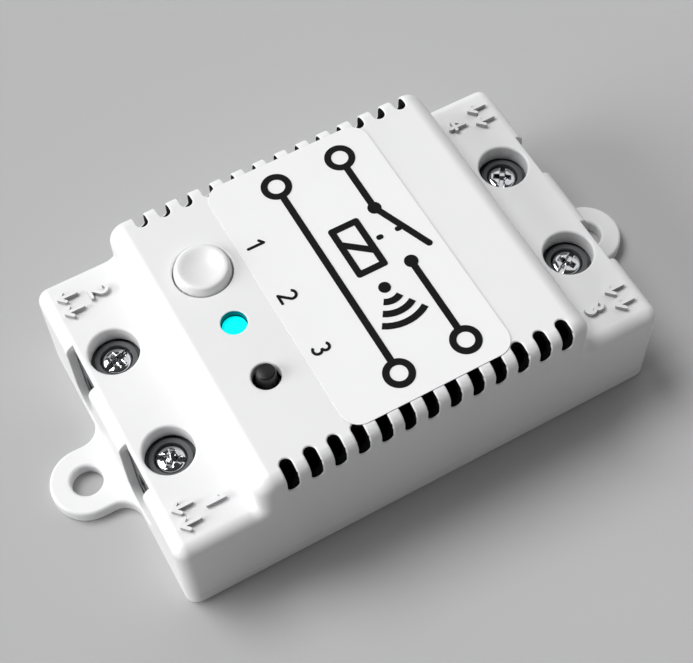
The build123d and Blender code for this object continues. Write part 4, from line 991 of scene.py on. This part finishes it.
mark_bottom, mark_top = shoulder_height - mark_sink, shoulder_height + mark_height
figure_x, arrows_x, marks_y, arrow_pitch = 34.0, 38.9, 21.4, 3.0
figure_height, arrow_length, arrow_wing = 3.4, 3.0, 0.95
mark_wall_painted_shade = finish(
    "mark_wall_painted_shade", moulded_skin, tone(176, 176, 177), tone(170, 170, 171), (0.4, 0.5), 0.003
)
for number, (side_x, side_y) in ends.items():
    marks = figure(number, side_x * figure_x, side_y * marks_y, figure_height, stroke,
                   mark_bottom, mark_top)
    for row in (-0.5, 0.5):
        y = side_y * marks_y + row * arrow_pitch
        tip = (side_x * arrows_x - arrow_length / 2, y)
        marks.append(bar(tip, (tip[0] + arrow_length, y), stroke, mark_bottom, mark_top))
        for wing in (-arrow_wing, arrow_wing):
            back = (tip[0] + arrow_wing, y + wing)
            marks.append(bar(tip, back, stroke, mark_bottom, mark_top))
    raised_marks = fused(marks, f"raised_marks_{number}")
    smooth(raised_marks, 30)
    wear(raised_marks, white_abs)
    raised_marks.data.materials.append(mark_wall_painted_shade)
    # Painted shade: the upright walls of the strokes take the grey
    for face in raised_marks.data.polygons:
        if abs(face.normal.z) < 0.5:
            face.material_index = 1
    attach(raised_marks, "housing")


# Label. A die-cut sticker of white satin vinyl with round corners, pressed flat on the raised
# block beside the controls. It reaches a little over the tips of the vents.
label_low, label_high = (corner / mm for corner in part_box("label"))
sticker = block("label_sticker", label_low, label_high)
round_over(sticker, 3.2, 10, lambda p, run, bend: abs(run.z) > 0.01 and bend > 80)
round_over(sticker, 0.05, 2, lambda p, run, bend: bend > 80 and p.z > label_high.z - 0.01)
smooth(sticker)
white_vinyl = finish(
    "white_vinyl", moulded_skin, tone(243, 243, 243), tone(241, 241, 242), (0.3, 0.38), 0.0008,
    Specular_IOR_Level=0.4,
)
# Painted shade: the sticker's thin side walls take a mid grey, for a dark line along its edge
sticker_side_shade_paint = finish(
    "vinyl_edge_painted_shade", moulded_skin, tone(150, 150, 152), tone(138, 138, 140), (0.5, 0.6), 0.001
)
wear(sticker, white_vinyl)
sticker.data.materials.append(sticker_side_shade_paint)
# The side walls get the painted shade
for face in sticker.data.polygons:
    if abs(face.normal.z) < 0.3:
        face.material_index = 1
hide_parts("label")
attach(sticker, "housing")


# Print on the label. Satin black screen ink: a plain wiring picture of a switched line with its
# coil and radio waves, and a number beside each control.
ink_bottom, ink_top = label_high.z - 0.04, label_high.z + 0.06
line = 1.15


def ink(start, end, width=line):
    """A printed line between two places, given along the reading direction and up the page."""
    return bar((start[1], -start[0]), (end[1], -end[0]), width, ink_bottom, ink_top)


def ring(along, up, radius):
    """A printed ring, by the middle of its line."""
    piece = peg("ring", up, -along, radius + line / 2, ink_bottom, ink_top, 48)
    hole = peg("hole", up, -along, radius - line / 2, ink_bottom - 1, ink_top + 1, 48)
    return combine(piece, hole, "DIFFERENCE")


def dot(along, up, radius):
    """A printed dot."""
    return peg("dot", up, -along, radius, ink_bottom, ink_top, 40)


upper, lower, reach, ring_radius = 10.4, -1.4, 20.0, 2.0
pivot, contact = -8.4, 3.4
print_pieces = [ring(side * reach, up, ring_radius) for side in (-1, 1) for up in (upper, lower)]
print_pieces += [
    ink((-reach + ring_radius, upper), (pivot, upper)),
    dot(pivot, upper, 1.15),
    ink((pivot, upper), (contact - 1.6, upper + 4.2)),
    dot(contact, upper, 1.15),
    ink((contact, upper), (reach - ring_radius, upper)),
    ink((-reach + ring_radius, lower), (reach - ring_radius, lower)),
]
coil_left, coil_right, coil_bottom, coil_top = -7.6, 1.6, 2.1, 6.5
coil_corners = [(coil_left, coil_bottom), (coil_right, coil_bottom), (coil_right, coil_top),
                (coil_left, coil_top), (coil_left, coil_bottom)]
print_pieces += [ink(start, end) for start, end in zip(coil_corners, coil_corners[1:])]
print_pieces.append(ink((coil_left + 2.8, coil_bottom), (coil_right - 2.8, coil_top)))
for height in (coil_top + 1.7, upper + 1.2):
    print_pieces.append(ink((-3.0, height), (-3.0, height + 0.3), 0.9))
wave_along, wave_up = 5.6, 4.3
print_pieces.append(dot(wave_along, wave_up, 1.0))
for radius in (2.7, 4.9, 7.1):
    print_pieces.append(
        arc(wave_up, -wave_along, radius, line, -90 - 33, 66, ink_bottom, ink_top)
    )
for place, y in enumerate((learn_y, lamp_y, pairing_y), start=1):
    print_pieces += figure(place, -9.6, y, 3.2, 0.46, ink_bottom, ink_top)
label_print = smooth(fused(print_pieces, "label_print"))
black_ink = finish(
    "black_ink", moulded_skin, tone(5, 5, 5), tone(9, 9, 9), (0.5, 0.6), 0.0006,
    Specular_IOR_Level=0.15,
)
wear(label_print, black_ink)
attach(label_print, "housing")


# Floor. A plain pale matt table top, wide enough that no side view sees its edge.
def floor_shade(name, seen, lit):
    """A matt floor that is seen pale and that throws back less light than that."""
    material = bpy.data.materials.new(name)
    material.use_nodes = True
    nodes, links = material.node_tree.nodes, material.node_tree.links
    shader = nodes["Principled BSDF"]
    shader.inputs["Roughness"].default_value = 0.5
    shader.inputs["Specular IOR Level"].default_value = 0
    rays = nodes.new("ShaderNodeLightPath")
    first_ray, second_ray = nodes.new("ShaderNodeMath"), nodes.new("ShaderNodeMath")
    for node in (first_ray, second_ray):
        node.operation = "MAXIMUM"
    links.new(rays.outputs["Is Camera Ray"], first_ray.inputs[0])
    links.new(rays.outputs["Is Glossy Ray"], first_ray.inputs[1])
    links.new(first_ray.outputs[0], second_ray.inputs[0])
    links.new(rays.outputs["Is Transmission Ray"], second_ray.inputs[1])
    mix = nodes.new("ShaderNodeMix")
    mix.data_type = "RGBA"
    first, second = (
        next(s for s in mix.inputs if s.name == name and s.enabled) for name in ("A", "B")
    )
    first.default_value, second.default_value = lit, seen
    links.new(second_ray.outputs[0], mix.inputs["Factor"])
    links.new(next(s for s in mix.outputs if s.enabled), shader.inputs["Base Color"])
    return material


bpy.ops.mesh.primitive_plane_add(size=14, location=(0, 0, -0.02 * mm))
floor = bpy.context.object
floor.name = "floor"
placed(floor)
floor.data.materials.append(floor_shade("pale_floor", tone(184, 184, 185), tone(156, 156, 156)))

# Light. A bright low horizon under a dark ceiling, one broad lamp from above and a little
# behind, a low one from the OUT end and a weak one from the far IN corner. They leave the near
# long side in soft shade.
world = bpy.data.worlds.new("studio")
bpy.context.scene.world = world
world.use_nodes = True
sky_nodes, sky_links = world.node_tree.nodes, world.node_tree.links
direction = sky_nodes.new("ShaderNodeTexCoord")
parts = sky_nodes.new("ShaderNodeSeparateXYZ")
fade = sky_nodes.new("ShaderNodeMapRange")
fade.inputs["From Min"].default_value = 0.1
fade.inputs["From Max"].default_value = 0.42
fade.inputs["To Min"].default_value = 0.68
fade.inputs["To Max"].default_value = 0.05
sky_links.new(direction.outputs["Generated"], parts.inputs["Vector"])
sky_links.new(parts.outputs["Z"], fade.inputs["Value"])
sky = sky_nodes["Background"]
sky.inputs["Color"].default_value = (1, 1, 1, 1)
sky_links.new(fade.outputs["Result"], sky.inputs["Strength"])


def lamp(name, origin, spread, power):
    """A broad lamp a long way off, by the way that its light comes from and its width."""
    data = bpy.data.lights.new(name, "SUN")
    data.angle = math.radians(spread)
    data.energy = power
    made = bpy.data.objects.new(name, data)
    bpy.context.scene.collection.objects.link(made)
    made.rotation_euler = Vector(origin).to_track_quat("Z", "Y").to_euler()
    return made


lamp("overhead", (-0.36, 0.5, 1.0), 30, 2.05)
lamp("end_lamp", (-1.0, 0.2, 0.42), 36, 2.1)
lamp("far_lamp", (0.7, 0.5, 0.9), 50, 0.45)

# Camera. A long lens at the angle of the photograph, above the near corner of the OUT end and
# rolled a little. Its place and aim come from fitting the case's corners.
azimuth, elevation, roll = math.radians(-26.74), math.radians(59.35), math.radians(-2.62)
distance, aim = 259.1, Vector((-0.07, -0.36, 10.1))
camera_data = bpy.data.cameras.new("camera")
camera_data.lens = 80.59
camera_data.sensor_width = 36
camera_data.clip_start = 0.01
camera = bpy.data.objects.new("camera", camera_data)
bpy.context.scene.collection.objects.link(camera)
back = Vector((
    math.sin(azimuth) * math.cos(elevation),
    -math.cos(azimuth) * math.cos(elevation),
    math.sin(elevation),
))
turn = (
    Matrix.Rotation(azimuth, 4, "Z")
    @ Matrix.Rotation(math.pi / 2 - elevation, 4, "X")
    @ Matrix.Rotation(roll, 4, "Z")
)
camera.matrix_world = Matrix.Translation((aim + distance * back) * mm) @ turn
bpy.context.scene.camera = camera
bpy.context.scene.view_settings.view_transform = "Standard"
